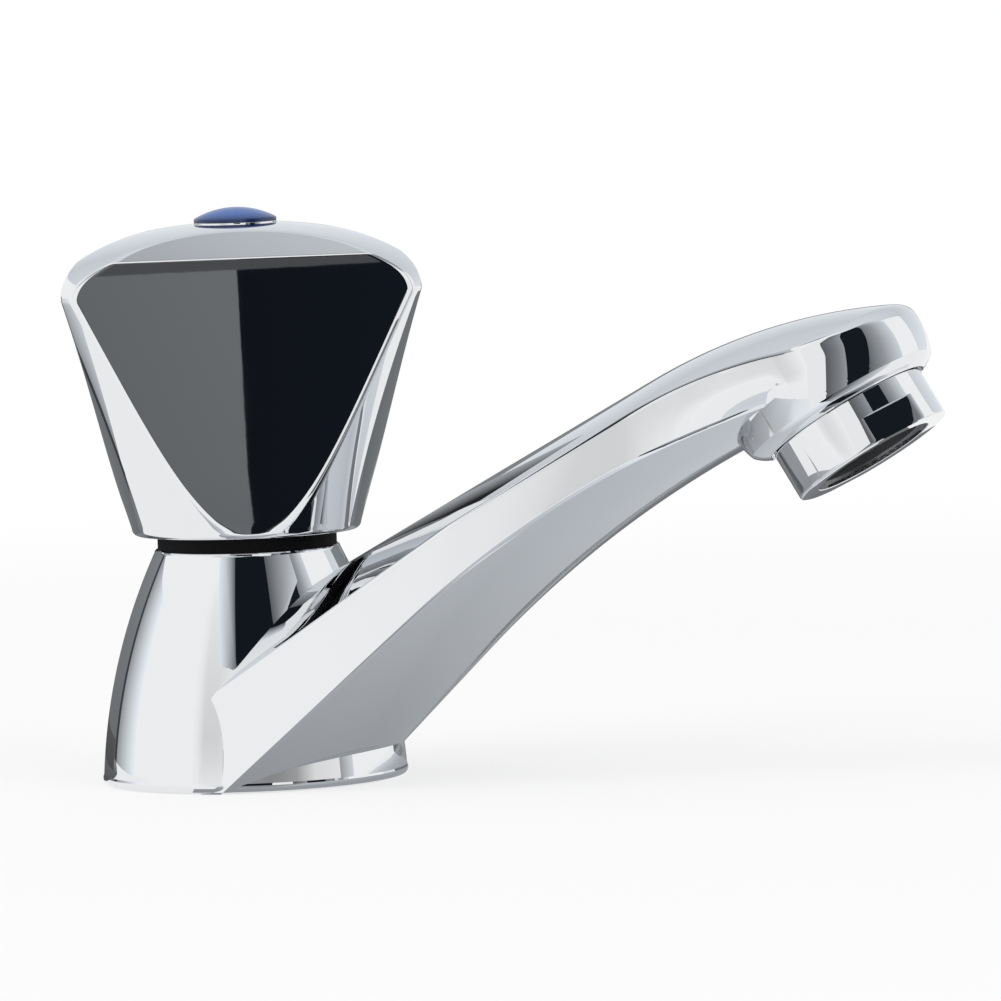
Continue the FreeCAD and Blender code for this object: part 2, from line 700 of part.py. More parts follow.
def aerator_screen():
    """A dirt screen, drawn as crossed bars inside a rim."""
    rim = ring(INSERTS_RADIUS - 2 * SCREEN_BAR, INSERTS_RADIUS, REGULATOR_TOP, SCREEN_TOP)
    bars = []
    count = int(INSERTS_RADIUS / SCREEN_PITCH)
    for i in range(-count, count + 1):
        low = i * SCREEN_PITCH - SCREEN_BAR / 2
        high = low + SCREEN_BAR
        bars.append(block(low, high, -FAR, FAR, REGULATOR_TOP, SCREEN_TOP))
        bars.append(block(-FAR, FAR, low, high, REGULATOR_TOP, SCREEN_TOP))
    inside = disc(INSERTS_RADIUS - SCREEN_BAR, REGULATOR_TOP, SCREEN_TOP)
    grid = bars[0].multiFuse(bars[1:]).common(inside)
    return at_outlet(rim.fuse(grid).removeSplitter())


def flow_regulator():
    holes = []
    for i in range(REGULATOR_HOLES):
        angle = 2 * math.pi * i / REGULATOR_HOLES
        hole = disc(REGULATOR_HOLE_RADIUS, REGULATOR_BOTTOM - 1, REGULATOR_TOP + 1)
        hole.translate(Vector(math.cos(angle), math.sin(angle), 0) * REGULATOR_HOLE_CIRCLE)
        holes.append(hole)
    return at_outlet(disc(INSERTS_RADIUS, REGULATOR_BOTTOM, REGULATOR_TOP).cut(holes))


NODES = {
    "tap_body": tap_body,
    "base_gasket": base_gasket,
    "headpart_body": headpart_body,
    "headpart_gasket": headpart_gasket,
    "neck_ring": neck_ring,
    "thrust_washer": thrust_washer,
    "spindle": spindle,
    "spindle_o_ring_lower": spindle_o_ring_lower,
    "spindle_o_ring_upper": spindle_o_ring_upper,
    "spindle_circlip": spindle_circlip,
    "valve_plunger": valve_plunger,
    "plunger_o_ring": plunger_o_ring,
    "seat_washer": seat_washer,
    "washer_screw": washer_screw,
    "handle": handle,
    "handle_insert": handle_insert,
    "screw_washer": screw_washer,
    "handle_screw": handle_screw,
    "index_cap": index_cap,
    "aerator_housing": aerator_housing,
    "aerator_gasket": aerator_gasket,
    "aerator_cartridge": aerator_cartridge,
    "aerator_grille": aerator_grille,
    "aerator_screen": aerator_screen,
    "flow_regulator": flow_regulator,
}

os.makedirs("parts", exist_ok=True)
for name, make in NODES.items():
    shape = make()
    volume = sum(solid.Volume for solid in shape.Solids)
    print(f"{name}: {len(shape.Solids)} solid, {volume:.1f} mm3, valid {shape.isValid()}")
    shape.exportStep(f"parts/{name}.step")
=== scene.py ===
import bpy
import bmesh
import math
from mathutils import Matrix, Vector


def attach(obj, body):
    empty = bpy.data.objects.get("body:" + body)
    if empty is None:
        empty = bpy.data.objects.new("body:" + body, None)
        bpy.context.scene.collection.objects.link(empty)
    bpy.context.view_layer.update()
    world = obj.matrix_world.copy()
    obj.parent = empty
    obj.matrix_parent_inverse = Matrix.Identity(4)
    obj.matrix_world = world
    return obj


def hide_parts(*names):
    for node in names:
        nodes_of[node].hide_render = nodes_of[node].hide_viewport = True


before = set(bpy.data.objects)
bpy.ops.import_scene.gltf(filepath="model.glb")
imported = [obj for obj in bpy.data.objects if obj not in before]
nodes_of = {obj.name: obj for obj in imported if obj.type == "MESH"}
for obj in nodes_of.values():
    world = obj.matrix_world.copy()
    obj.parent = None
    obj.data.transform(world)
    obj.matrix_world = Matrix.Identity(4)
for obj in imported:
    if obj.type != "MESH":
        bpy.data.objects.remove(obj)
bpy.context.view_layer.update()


# Tap body, first part: the bell-shaped pedestal.
# It is cast in one piece with the spout, then ground and polished. The inlet, the valve seat
# and the valve's chamber are bored into it along the upright axis.

MM = 0.001
FULL_TURN = 2 * math.pi
BASE_RADIUS = 22.4
BASE_EDGE = 0.8
FLANK_LOW = (22.35, 1.5)
WAIST = (19.9, 17.0)
NECK_RADIUS = 13.7
NECK_HEIGHT = 34.4
NECK_EDGE = 0.5
INLET = (9.32, 12.0)
SEAT_BORE = 4.5
SEAT_RIM = (6.5, 17.0)
CHAMBER = (9.93, 15.0)
GASKET_GROOVE = (15.5, 19.5, 2.0)
FOOT_STEPS = 6
FLANK_STEPS = 44
NECK_STEPS = 4
PEDESTAL_STEPS = 240
ROUND_MIDDLE = 0.3
WELD_GAP = 1e-4
SHARP_EDGE = math.radians(25)
EVEN_WEIGHT = 60


def along_line(start, end, steps):
    """Points spaced evenly on the line from the first point to the last."""
    span = (end[0] - start[0], end[1] - start[1])
    shares = [i / steps for i in range(steps + 1)]
    return [(start[0] + span[0] * s, start[1] + span[1] * s) for s in shares]


def along_arc(start, middle, end, steps):
    """Points on the circle through three points, from the first to the last."""
    ax, ay = middle[0] - start[0], middle[1] - start[1]
    bx, by = end[0] - start[0], end[1] - start[1]
    twice = 2 * (ax * by - ay * bx)
    a2, b2 = ax * ax + ay * ay, bx * bx + by * by
    cx = start[0] + (by * a2 - ay * b2) / twice
    cy = start[1] + (ax * b2 - bx * a2) / twice
    radius = math.hypot(start[0] - cx, start[1] - cy)
    first = math.atan2(start[1] - cy, start[0] - cx)
    sweep = math.atan2(end[1] - cy, end[0] - cx) - first
    sweep = (sweep + math.pi) % FULL_TURN - math.pi
    angles = [first + sweep * i / steps for i in range(steps + 1)]
    return [(cx + radius * math.cos(a), cy + radius * math.sin(a)) for a in angles]


def turned(points, steps):
    """The solid of a closed outline of (radius, height) points, turned about Z."""
    bm = bmesh.new()
    corners = [bm.verts.new((r, 0, z)) for r, z in points]
    edges = [bm.edges.new(pair) for pair in zip(corners, corners[1:] + corners[:1])]
    bmesh.ops.spin(bm, geom=corners + edges, cent=(0, 0, 0), axis=(0, 0, 1),
                   angle=FULL_TURN, steps=steps, use_merge=True)
    bmesh.ops.remove_doubles(bm, verts=bm.verts[:], dist=WELD_GAP)
    return bm


def made(bm, name, place=None):
    """Makes an object at the origin from a bmesh in millimetres, with its faces outwards."""
    if place:
        bmesh.ops.transform(bm, matrix=place, verts=bm.verts[:])
    bmesh.ops.scale(bm, vec=(MM, MM, MM), verts=bm.verts[:])
    bmesh.ops.recalc_face_normals(bm, faces=bm.faces[:])
    mesh = bpy.data.meshes.new(name)
    bm.to_mesh(mesh)
    bm.free()
    piece = bpy.data.objects.new(name, mesh)
    bpy.context.collection.objects.link(piece)
    return piece


def carve(piece, tool, how):
    """Joins a piece with a tool, or cuts it, and uses the tool up."""
    step = piece.modifiers.new("carve", "BOOLEAN")
    step.operation = how
    step.solver = "EXACT"
    step.object = tool
    bpy.context.view_layer.objects.active = piece
    bpy.ops.object.modifier_apply(modifier=step.name)
    bpy.data.objects.remove(tool)


def smooth(piece, sharp=SHARP_EDGE):
    """Smooth shading that keeps flat faces flat and real edges crisp."""
    piece.data.shade_smooth()
    piece.data.set_sharp_from_angle(angle=sharp)
    normals = piece.modifiers.new("even_normals", "WEIGHTED_NORMAL")
    normals.keep_sharp = True
    normals.weight = EVEN_WEIGHT


foot = (BASE_RADIUS - BASE_EDGE, 0)
foot_round = (BASE_RADIUS - ROUND_MIDDLE * BASE_EDGE, ROUND_MIDDLE * BASE_EDGE)
neck_edge = (NECK_RADIUS, NECK_HEIGHT - NECK_EDGE)
neck_round = (NECK_RADIUS - ROUND_MIDDLE * NECK_EDGE, NECK_HEIGHT - ROUND_MIDDLE * NECK_EDGE)
neck_top = (NECK_RADIUS - NECK_EDGE, NECK_HEIGHT)
groove_inner, groove_outer, groove_depth = GASKET_GROOVE
tap_body = made(turned([
    *along_arc(foot, foot_round, FLANK_LOW, FOOT_STEPS),
    *along_arc(FLANK_LOW, WAIST, neck_edge, FLANK_STEPS)[1:],
    *along_arc(neck_edge, neck_round, neck_top, NECK_STEPS)[1:],
    (CHAMBER[0], NECK_HEIGHT),
    CHAMBER,
    (SEAT_RIM[0], CHAMBER[1]),
    SEAT_RIM,
    (SEAT_BORE, SEAT_RIM[1]),
    (SEAT_BORE, INLET[1]),
    INLET,
    (INLET[0], 0),
    (groove_inner, 0),
    (groove_inner, groove_depth),
    (groove_outer, groove_depth),
    (groove_outer, 0),
], PEDESTAL_STEPS), "tap_body_shell")


# Tap body, second part: the slanted spout, cast in one with the pedestal.
# Its ridge climbs straight and bends over. Its top is crowned between two creases, its sides
# are flat, and its underside bulges down. At the outlet it ends in a round head.

OUTLET = (98.64, 46.8)
OUTLET_LEAN = math.radians(31.33)
HEAD_RADIUS = 15.75
HEAD_FLANK = (14.0, 5.2, 0.91)
HEAD_BLEND = 30.0
RIDGE = ((24.8, 36.2), math.radians(28.1), 67.0, 84.0)
LOWER_CREASE = ((4.9, 0.0), math.radians(40.5), 35.0, 152.0)
CROWN_RADIUS = 33.0
CROWN_LEAST_HALF = 16.4
SHOULDER_X = 40.0
SHOULDER_FALL = 0.66
SAG_START = 9.4
SAG_START_X = 25.0
SAG_FALL = 0.105
UPPER_HALF = (20.65, math.tan(math.radians(2.8)))
LOWER_HALF = (22.35, math.tan(math.radians(3.8)))
HEAD_BOTTOM = 9.25
CREASE_ROUND = 0.45
NOSE_ROUND = 1.8
ARM_START = 10
ARM_LEAN_FROM = 0.3
ARM_ROWS = 72
HEAD_STEPS = 216
ACROSS_STEPS = 16
SIDE_STEPS = 14
ROUND_STEPS = 12
CROSSING_REACH = (-40.0, 60.0)
HALVINGS = 44
LIP = (12.7, 7.3)
LIP_EDGE = 0.1
LIP_GROOVE = (11.6, 12.45, 8.1)
LOBE_FOOT = ((12.95, 7.5), (13.98, 8.05), (14.83, 8.8))
LOBE_FOOT_STEPS = 8
LOBE_FLANK_STEPS = 16
LOBE_STEP = 0.005
SOCKET = (11.05, 13.2)
THROAT = (8.5, 17.0)
CORE = ((20.5, 2.3), (12.0, 80.0))
BORE_START = -1
BORE_STEPS = 128
UNDERSIDE = 0.01
CAST_EDGE = math.radians(10)

to_outlet = (Matrix.Translation((OUTLET[0], 0, OUTLET[1]))
             @ Matrix.Rotation(-OUTLET_LEAN, 4, "Y"))


def bent_climb(x, start, climb, bend, radius):
    """Height of a straight climb from a point, which runs into an arc tangent to it."""
    straight = start[1] + (min(x, bend) - start[0]) * math.tan(climb)
    if x < bend:
        return straight
    reach = bend + radius * math.sin(climb) - x
    return straight - radius * math.cos(climb) + math.sqrt(radius ** 2 - reach ** 2)


def ridge(x):
    """Height of the spout's top line."""
    return bent_climb(x, *RIDGE)


def crease(x):
    """Height of the crease between a side and the underside."""
    return bent_climb(x, *LOWER_CREASE)


def belly(x):
    """Height of the underside's lowest line."""
    return crease(x) - SAG_START + SAG_FALL * (x - SAG_START_X)


def half_width(x, widths):
    """Half of the spout's width, which narrows evenly along x."""
    return widths[0] - x * widths[1]


def shoulder(x):
    """Height of the crease between the crown and a side."""
    along = max(x, SHOULDER_X)
    half = max(CROWN_LEAST_HALF, half_width(along, UPPER_HALF))
    drop = CROWN_RADIUS - math.sqrt(CROWN_RADIUS ** 2 - half ** 2)
    return ridge(along) - drop - (along - x) * SHOULDER_FALL


def crossing(height, start, lean):
    """How far up a leaning section plane, from a point on it, it meets z = height(x)."""
    low, high = CROSSING_REACH
    for _ in range(HALVINGS):
        middle = (low + high) / 2
        x = start[0] - middle * math.sin(lean)
        if start[1] + middle * math.cos(lean) < height(x):
            low = middle
        else:
            high = middle
    return low


def arc_drop(across, half, sag):
    """Fall of a shallow arc of that half width and sag, at a distance from its middle."""
    radius = (half * half + sag * sag) / (2 * sag)
    return radius - math.sqrt(radius * radius - across * across)


def flank(up):
    """The head's radius at a height above the outlet: it draws in towards its foot."""
    top, half, sag = HEAD_FLANK
    return HEAD_RADIUS - arc_drop(max(top - up, 0), half, sag)


def rounded(before, corner, after):
    """The points of a small round between two edges that meet at a corner."""
    points = []
    for i in range(ROUND_STEPS + 1):
        s = i / ROUND_STEPS
        points.append(tuple((1 - s) ** 2 * a + 2 * s * (1 - s) * b + s * s * c
                            for a, b, c in zip(before, corner, after)))
    return points


def half_section(start, lean, near):
    """(across, up) from the ridge, over the crown and down a side, to under the belly."""
    def towards_head(half, head_half):
        return half + (head_half - half) * near

    top, upper = crossing(ridge, start, lean), crossing(shoulder, start, lean)
    lower, low = crossing(crease, start, lean), crossing(belly, start, lean)
    crown_half = towards_head(half_width(start[0] - upper * math.sin(lean), UPPER_HALF),
                              HEAD_RADIUS)
    belly_half = towards_head(half_width(start[0] - lower * math.sin(lean), LOWER_HALF),
                              flank(HEAD_BOTTOM))
    crown = [(x, top - arc_drop(x, crown_half, top - upper))
             for x, _ in along_line((0, 0), (crown_half - CREASE_ROUND, 0), ACROSS_STEPS)]
    under = [(x, low + arc_drop(x, belly_half, lower - low))
             for x, _ in along_line((belly_half - CREASE_ROUND, 0), (0, 0), ACROSS_STEPS)]
    flat = along_line((crown_half, upper - CREASE_ROUND), (belly_half, lower + CREASE_ROUND),
                      SIDE_STEPS)
    side = [(towards_head(half, flank(HEAD_BOTTOM + up - lower)), up) for half, up in flat]
    return (crown[:-1] + rounded(crown[-1], (crown_half, upper), side[0]) + side[1:-1]
            + rounded(side[-1], (belly_half, lower), under[0]) + under[1:])


def head_section(turn):
    """(across, up) of the head from its middle, in the direction turned from the front."""
    def crown(across):
        forward = across * math.cos(turn)
        start = (OUTLET[0] + forward * math.cos(OUTLET_LEAN),
                 OUTLET[1] + forward * math.sin(OUTLET_LEAN))
        top = crossing(ridge, start, OUTLET_LEAN)
        upper = crossing(shoulder, start, OUTLET_LEAN)
        return across, top - arc_drop(across * math.sin(turn), HEAD_RADIUS, top - upper)

    soft = CREASE_ROUND + (NOSE_ROUND - CREASE_ROUND) * max(math.cos(turn), 0) ** 2
    top = [crown(x) for x, _ in along_line((0, 0), (HEAD_RADIUS - soft, 0), ACROSS_STEPS)]
    rim = crown(HEAD_RADIUS)
    side = [(flank(up), up) for _, up in along_line(
        (0, rim[1] - soft), (0, HEAD_BOTTOM + CREASE_ROUND), SIDE_STEPS)]
    under = along_line((flank(HEAD_BOTTOM), HEAD_BOTTOM), (0, HEAD_BOTTOM), ACROSS_STEPS)
    corner = along_line(side[-1], under[0], ROUND_STEPS)
    return top[:-1] + rounded(top[-1], rim, side[0]) + side[1:-1] + corner + under[1:]


def skinned(rows):
    """A skin over rows of points: a grid whose points are moved on to the rows."""
    bm = bmesh.new()
    bmesh.ops.create_grid(bm, x_segments=len(rows[0]) - 1, y_segments=len(rows) - 1)
    bm.verts.ensure_lookup_table()
    points = [point for row in rows for point in row]
    for vert, point in zip(bm.verts, points):
        vert.co = point
    return bm


def joined(*skins):
    """Several skins as one bmesh, with its open ends closed."""
    bm = bmesh.new()
    for skin in skins:
        mesh = bpy.data.meshes.new("skin")
        skin.to_mesh(mesh)
        skin.free()
        bm.from_mesh(mesh)
        bpy.data.meshes.remove(mesh)
    bmesh.ops.remove_doubles(bm, verts=bm.verts[:], dist=WELD_GAP)
    ends = [edge for edge in bm.edges if edge.is_boundary]
    if ends:
        bmesh.ops.holes_fill(bm, edges=ends, sides=0)
    return bm


arm = []
for i in range(ARM_ROWS):
    share = i / ARM_ROWS
    start = (OUTLET[0] * share, ARM_START + (OUTLET[1] - ARM_START) * share)
    leaning = max(0, (share - ARM_LEAN_FROM) / (1 - ARM_LEAN_FROM))
    lean = OUTLET_LEAN * leaning ** 2 * (3 - 2 * leaning)
    ahead = (1 - share) * math.hypot(OUTLET[0], OUTLET[1] - ARM_START)
    near = max(1 - ahead / HEAD_BLEND, 0)
    half = half_section(start, lean, near ** 2 * (3 - 2 * near))
    ring = half[:-1] + [(-x, up) for x, up in half[:0:-1]] + half[:1]
    sin, cos = math.sin(lean), math.cos(lean)
    arm.append([(start[0] - up * sin, y, start[1] + up * cos) for y, up in ring])
head = []
for i in range(HEAD_STEPS // 2 + 1):
    turn = FULL_TURN * i / HEAD_STEPS - math.pi / 2
    sin, cos = math.sin(turn), math.cos(turn)
    head.append([to_outlet @ Vector((x * cos, x * sin, up)) for x, up in head_section(turn)])
closing = head[-1][:-1] + head[0][:0:-1] + head[-1][:1]
spout_skin = joined(skinned(arm + [closing]), skinned(head))
bmesh.ops.bisect_plane(spout_skin, geom=spout_skin.verts[:] + spout_skin.edges[:]
                       + spout_skin.faces[:], plane_co=(0, 0, UNDERSIDE), plane_no=(0, 0, 1),
                       clear_inner=True)
bmesh.ops.holes_fill(spout_skin, edges=[e for e in spout_skin.edges if e.is_boundary], sides=0)
spout = made(spout_skin, "spout")

groove_inner, groove_outer, groove_top = LIP_GROOVE
lobe_top = HEAD_FLANK[0]
lobe = made(turned([
    (0, LIP[1]),
    (groove_inner, LIP[1]),
    (groove_inner, groove_top),
    (groove_outer, groove_top),
    (groove_outer, LIP[1] + LIP_EDGE),
    LIP,
    *along_arc(*LOBE_FOOT, LOBE_FOOT_STEPS),
    *[(flank(up) - LOBE_STEP, up) for _, up in along_line(
        (0, LOBE_FOOT[2][1]), (0, lobe_top), LOBE_FLANK_STEPS)][1:],
    (0, lobe_top),
], HEAD_STEPS), "lobe", to_outlet)
socket = made(turned([
    (0, BORE_START), (SOCKET[0], BORE_START), SOCKET,
    (THROAT[0], SOCKET[1]), THROAT, (0, THROAT[1]),
], BORE_STEPS), "socket", to_outlet)
core = made(turned([
    (0, BORE_START), (CORE[0][0], BORE_START), CORE[0],
    (CORE[1][0], CORE[0][1]), CORE[1], (0, CORE[1][1]),
], BORE_STEPS), "core")
carve(spout, core, "DIFFERENCE")
carve(spout, lobe, "UNION")
carve(spout, socket, "DIFFERENCE")
carve(tap_body, spout, "UNION")
smooth(tap_body, CAST_EDGE)
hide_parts("tap_body")
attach(tap_body, "body")


# Body's finish: bright chrome plate on polished brass.
# Hand polishing leaves the plate very slightly uneven, with a faint haze and a few fine
# wiping marks that only show in the reflections.

CHROME = (0.83, 0.84, 0.855, 1)
CLOUD_DETAIL = 4
WIPE_SCALE = 900
WIPE_DETAIL = 3
WIPE_STRETCH = (1, 1, 0.08)
WIPE_TURN = (0.4, 0.3, 0.2)
WAVE_HEIGHT = 0.00002


def new_group(name, inputs, outputs):
    """An empty effect with named inputs (name, value) and outputs (name, kind)."""
    group = bpy.data.node_groups.new(name, "ShaderNodeTree")
    for label, value in inputs:
        made_socket = group.interface.new_socket(label, in_out="INPUT",
                                                 socket_type="NodeSocketFloat")
        made_socket.default_value = value
    for label, kind in outputs:
        group.interface.new_socket(label, in_out="OUTPUT", socket_type=kind)
    return group, group.nodes.new("NodeGroupInput"), group.nodes.new("NodeGroupOutput")


def polish_group():
    """Haze, wiping marks and waviness of a polished or turned surface."""
    group, given, out = new_group("hand_polish", [
        ("Gloss", 0.03), ("Haze", 0.03), ("Waviness", 0.1), ("Scale", 60.0),
    ], [("Roughness", "NodeSocketFloat"), ("Normal", "NodeSocketVector")])
    nodes, link = group.nodes, group.links.new
    place = nodes.new("ShaderNodeTexCoord")
    cloud = nodes.new("ShaderNodeTexNoise")
    cloud.inputs["Detail"].default_value = CLOUD_DETAIL
    link(place.outputs["Object"], cloud.inputs["Vector"])
    link(given.outputs["Scale"], cloud.inputs["Scale"])
    wipes = nodes.new("ShaderNodeTexNoise")
    wipes.inputs["Scale"].default_value = WIPE_SCALE
    wipes.inputs["Detail"].default_value = WIPE_DETAIL
    stretch = nodes.new("ShaderNodeMapping")
    stretch.inputs["Scale"].default_value = WIPE_STRETCH
    stretch.inputs["Rotation"].default_value = WIPE_TURN
    link(place.outputs["Object"], stretch.inputs["Vector"])
    link(stretch.outputs["Vector"], wipes.inputs["Vector"])
    marks = nodes.new("ShaderNodeMath")
    marks.operation = "MULTIPLY"
    link(cloud.outputs["Fac"], marks.inputs[0])
    link(wipes.outputs["Fac"], marks.inputs[1])
    haze = nodes.new("ShaderNodeMath")
    haze.operation = "MULTIPLY_ADD"
    link(marks.outputs[0], haze.inputs[0])
    link(given.outputs["Haze"], haze.inputs[1])
    link(given.outputs["Gloss"], haze.inputs[2])
    link(haze.outputs[0], out.inputs["Roughness"])
    bump = nodes.new("ShaderNodeBump")
    bump.inputs["Distance"].default_value = WAVE_HEIGHT
    link(given.outputs["Waviness"], bump.inputs["Strength"])
    link(cloud.outputs["Fac"], bump.inputs["Height"])
    link(bump.outputs["Normal"], out.inputs["Normal"])
    return group


hand_polish = polish_group()


def finish_of(name, colour, metallic, effect, **values):
    """A material with one shader, whose gloss and normal come from an effect."""
    finish = bpy.data.materials.new(name)
    finish.use_nodes = True
    nodes, link = finish.node_tree.nodes, finish.node_tree.links.new
    shader = nodes["Principled BSDF"]
    shader.inputs["Base Color"].default_value = colour
    shader.inputs["Metallic"].default_value = metallic
    marks = nodes.new("ShaderNodeGroup")
    marks.node_tree = effect
    for label, value in values.items():
        marks.inputs[label].default_value = value
    link(marks.outputs["Roughness"], shader.inputs["Roughness"])
    link(marks.outputs["Normal"], shader.inputs["Normal"])
    return finish


def put_on(finish, *objects):
    """Gives objects one finish, in place of any that they had."""
    for obj in objects:
        obj.data.materials.clear()
        obj.data.materials.append(finish)


body_chrome = finish_of("body_chrome", CHROME, 1, hand_polish, Gloss=0.005, Haze=0.02)
put_on(body_chrome, tap_body)


# Handle: a hollow casting with three lobes between three flat sides, under a domed crown.
# Inside it has a boss for the spindle's insert, a well for the screw, and three ribs. The
# outside is polished and chrome-plated like the body.

HANDLE_BOTTOM = 36.5
HANDLE_FOOT = (16.9, 37.5)
HANDLE_WAIST = (22.5, 54.6)
HANDLE_TOP = (29.4, 71.5)
HANDLE_CROWN = (29.6, 10.2, 72.0)
HANDLE_WALL = 2.5
SIDE_ARC = ((16.85, 34.0), (15.75, 56.0), (16.4, 77.4))
SIDE_AZIMUTHS = (57.0, 177.0, -63.0)
LOBE_AZIMUTHS = (-3.0, 117.0, -123.0)
BOSS = (9.5, 51.4)
BOSS_BORE = (7.05, 61.0)
WEB_HOLE = (2.6, 64.5)
WELL_RADIUS = 5.3
CAP_LAND = (6.1, 82.2)
RIB_THICKNESS = 2.5
RIB_OUTLINE = ((BOSS[0] - 1, 53.0), (20.4, 53.0), (24.5, 62.0), (27.6, 70.5), (26.5, 74.0),
               (20.0, 78.0), (BOSS[0] - 1, 80.0))
LAND_EDGE = 0.08
EDGE_SOFTNESS = 0.5
KINK_ROUND = 0.12
LEAST_HALF_TURN = math.radians(9)
CREASE_WIDTH = 1.2
CREASE_SHARE = 0.6
CHORD_STEPS = 26
CREASE_STEPS = 8
LOBE_STEPS = 30
RIM_STEPS = 6
OUTSIDE_STEPS = (48, 120)
INSIDE_STEPS = (20, 30)
NO_SIDE = 1000.0


def side_distance(z):
    """Distance of the flat sides from the axis: slightly hollow, then bevelled inwards."""
    (low, foot_z), (middle, middle_z), (top, kink_z) = SIDE_ARC
    share = (z - foot_z) / (kink_z - foot_z)
    bow = middle - (low + (top - low) * (middle_z - foot_z) / (kink_z - foot_z))
    along = min(share, 1)
    distance = low + (top - low) * along + 4 * bow * along * (1 - along)
    past = z - kink_z + KINK_ROUND
    if past > 2 * KINK_ROUND:
        return distance - (z - kink_z)
    if past > 0:
        return distance - past ** 2 / (4 * KINK_ROUND)
    return distance


def soft_least(a, b):
    """The smaller of two lengths, rounded over where they are nearly equal."""
    overlap = max(EDGE_SOFTNESS - abs(a - b), 0) / EDGE_SOFTNESS
    return min(a, b) - EDGE_SOFTNESS * overlap ** 2 / 4


def sided_ring(radius, distance, height, azimuths):
    """One closed ring of a round shape with flat sides, with points close at its creases."""
    alpha = max(math.acos(min(1, distance / radius)), LEAST_HALF_TURN)
    spread = min(CREASE_WIDTH / radius, CREASE_SHARE * alpha)
    share = FULL_TURN / len(azimuths)
    offsets = []
    for first, width, steps in (
            (-alpha + spread, 2 * (alpha - spread), CHORD_STEPS),
            (alpha - spread, 2 * spread, CREASE_STEPS),
            (alpha + spread, share - 2 * alpha - 2 * spread, LOBE_STEPS),
            (share - alpha - spread, 2 * spread, CREASE_STEPS)):
        offsets += [first + width * i / steps for i in range(steps)]
    ring = []
    for azimuth in azimuths:
        for offset in offsets:
            turn = (offset + share / 2) % share - share / 2
            reach = soft_least(radius, distance / math.cos(turn))
            angle = math.radians(azimuth) + offset
            ring.append((reach * math.cos(angle), reach * math.sin(angle), height))
    return ring + ring[:1]


def bell_rows(inset):
    """(radius, side distance, height) of the bell's outside, or of its inside with an inset."""
    foot_radius, foot_z = HANDLE_FOOT
    bell_steps, crown_steps = INSIDE_STEPS if inset else OUTSIDE_STEPS
    if inset:
        rim = [(foot_radius - inset, HANDLE_BOTTOM)]
    else:
        soft = foot_z - HANDLE_BOTTOM
        middle = (foot_radius - ROUND_MIDDLE * soft, HANDLE_BOTTOM + ROUND_MIDDLE * soft)
        rim = along_arc((foot_radius - soft, HANDLE_BOTTOM), middle, HANDLE_FOOT, RIM_STEPS)[:-1]
    bell = along_arc((foot_radius - inset, foot_z), (HANDLE_WAIST[0] - inset, HANDLE_WAIST[1]),
                     (HANDLE_TOP[0] - inset, HANDLE_TOP[1]), bell_steps)
    half, rise, base = HANDLE_CROWN
    half, rise = half - inset, rise - inset
    last = math.acos((BOSS[0] if inset else CAP_LAND[0]) / half)
    angles = [last * i / crown_steps for i in range(crown_steps + 1)]
    crown = [(half * math.cos(a), base + rise * math.sin(a)) for a in angles]
    return [(r, side_distance(z) - inset, z) for r, z in rim + bell + crown]


handle_rows = bell_rows(0) + [
    (CAP_LAND[0], NO_SIDE, CAP_LAND[1] - LAND_EDGE),
    (CAP_LAND[0] - LAND_EDGE, NO_SIDE, CAP_LAND[1]),
    (WELL_RADIUS, NO_SIDE, CAP_LAND[1]),
    (WELL_RADIUS, NO_SIDE, WEB_HOLE[1]),
    (WEB_HOLE[0], NO_SIDE, WEB_HOLE[1]),
    (WEB_HOLE[0], NO_SIDE, BOSS_BORE[1]),
    (BOSS_BORE[0], NO_SIDE, BOSS_BORE[1]),
    (BOSS_BORE[0], NO_SIDE, BOSS[1]),
    (BOSS[0], NO_SIDE, BOSS[1]),
] + bell_rows(HANDLE_WALL)[::-1]
handle_rings = [sided_ring(*row, SIDE_AZIMUTHS) for row in handle_rows]
handle_skin = joined(skinned(handle_rings + handle_rings[:1]))
for azimuth in LOBE_AZIMUTHS:
    rib = bmesh.new()
    corners = [rib.verts.new((r, -RIB_THICKNESS / 2, z)) for r, z in RIB_OUTLINE]
    face = rib.faces.new(corners)
    wall = bmesh.ops.extrude_face_region(rib, geom=[face])["geom"]
    moved = [item for item in wall if isinstance(item, bmesh.types.BMVert)]
    bmesh.ops.translate(rib, vec=(0, RIB_THICKNESS, 0), verts=moved)
    bmesh.ops.rotate(rib, cent=(0, 0, 0), verts=rib.verts[:],
                     matrix=Matrix.Rotation(math.radians(azimuth), 3, "Z"))
    bmesh.ops.recalc_face_normals(rib, faces=rib.faces[:])
    rib_mesh = bpy.data.meshes.new("rib")
    rib.to_mesh(rib_mesh)
    rib.free()
    handle_skin.from_mesh(rib_mesh)
    bpy.data.meshes.remove(rib_mesh)
handle = made(handle_skin, "handle_shell")
smooth(handle)
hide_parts("handle")
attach(handle, "handle")
handle_chrome = finish_of("handle_chrome", CHROME, 1, hand_polish, Gloss=0.006, Haze=0.025)
put_on(handle_chrome, handle)


# Index cap: a blue moulded button with a shallow dome and a clip skirt.
# It is pressed into the handle's well and covers the screw. Blue stands for cold water.

CAP_RADIUS = 6.08
CAP_SIDE = 0.5
CAP_DOME = 1.6
CAP_SKIRT = (4.2, 5.2, 6.2)
CAP_PAINTED_SHADE_HEIGHTS = (82.5, 83.5)
CAP_CHAMFER = 0.05
CAP_EASE = ((0, -0.12), (-0.06, 0.02))
DOME_STEPS = 24
CAP_STEPS = 128
# The first and darkest blue is painted shade, which darkens the cap's side towards its foot.
CAP_BLUES = ((0.006, 0.018, 0.085, 1), (0.030, 0.105, 0.37, 1), (0.040, 0.13, 0.43, 1))

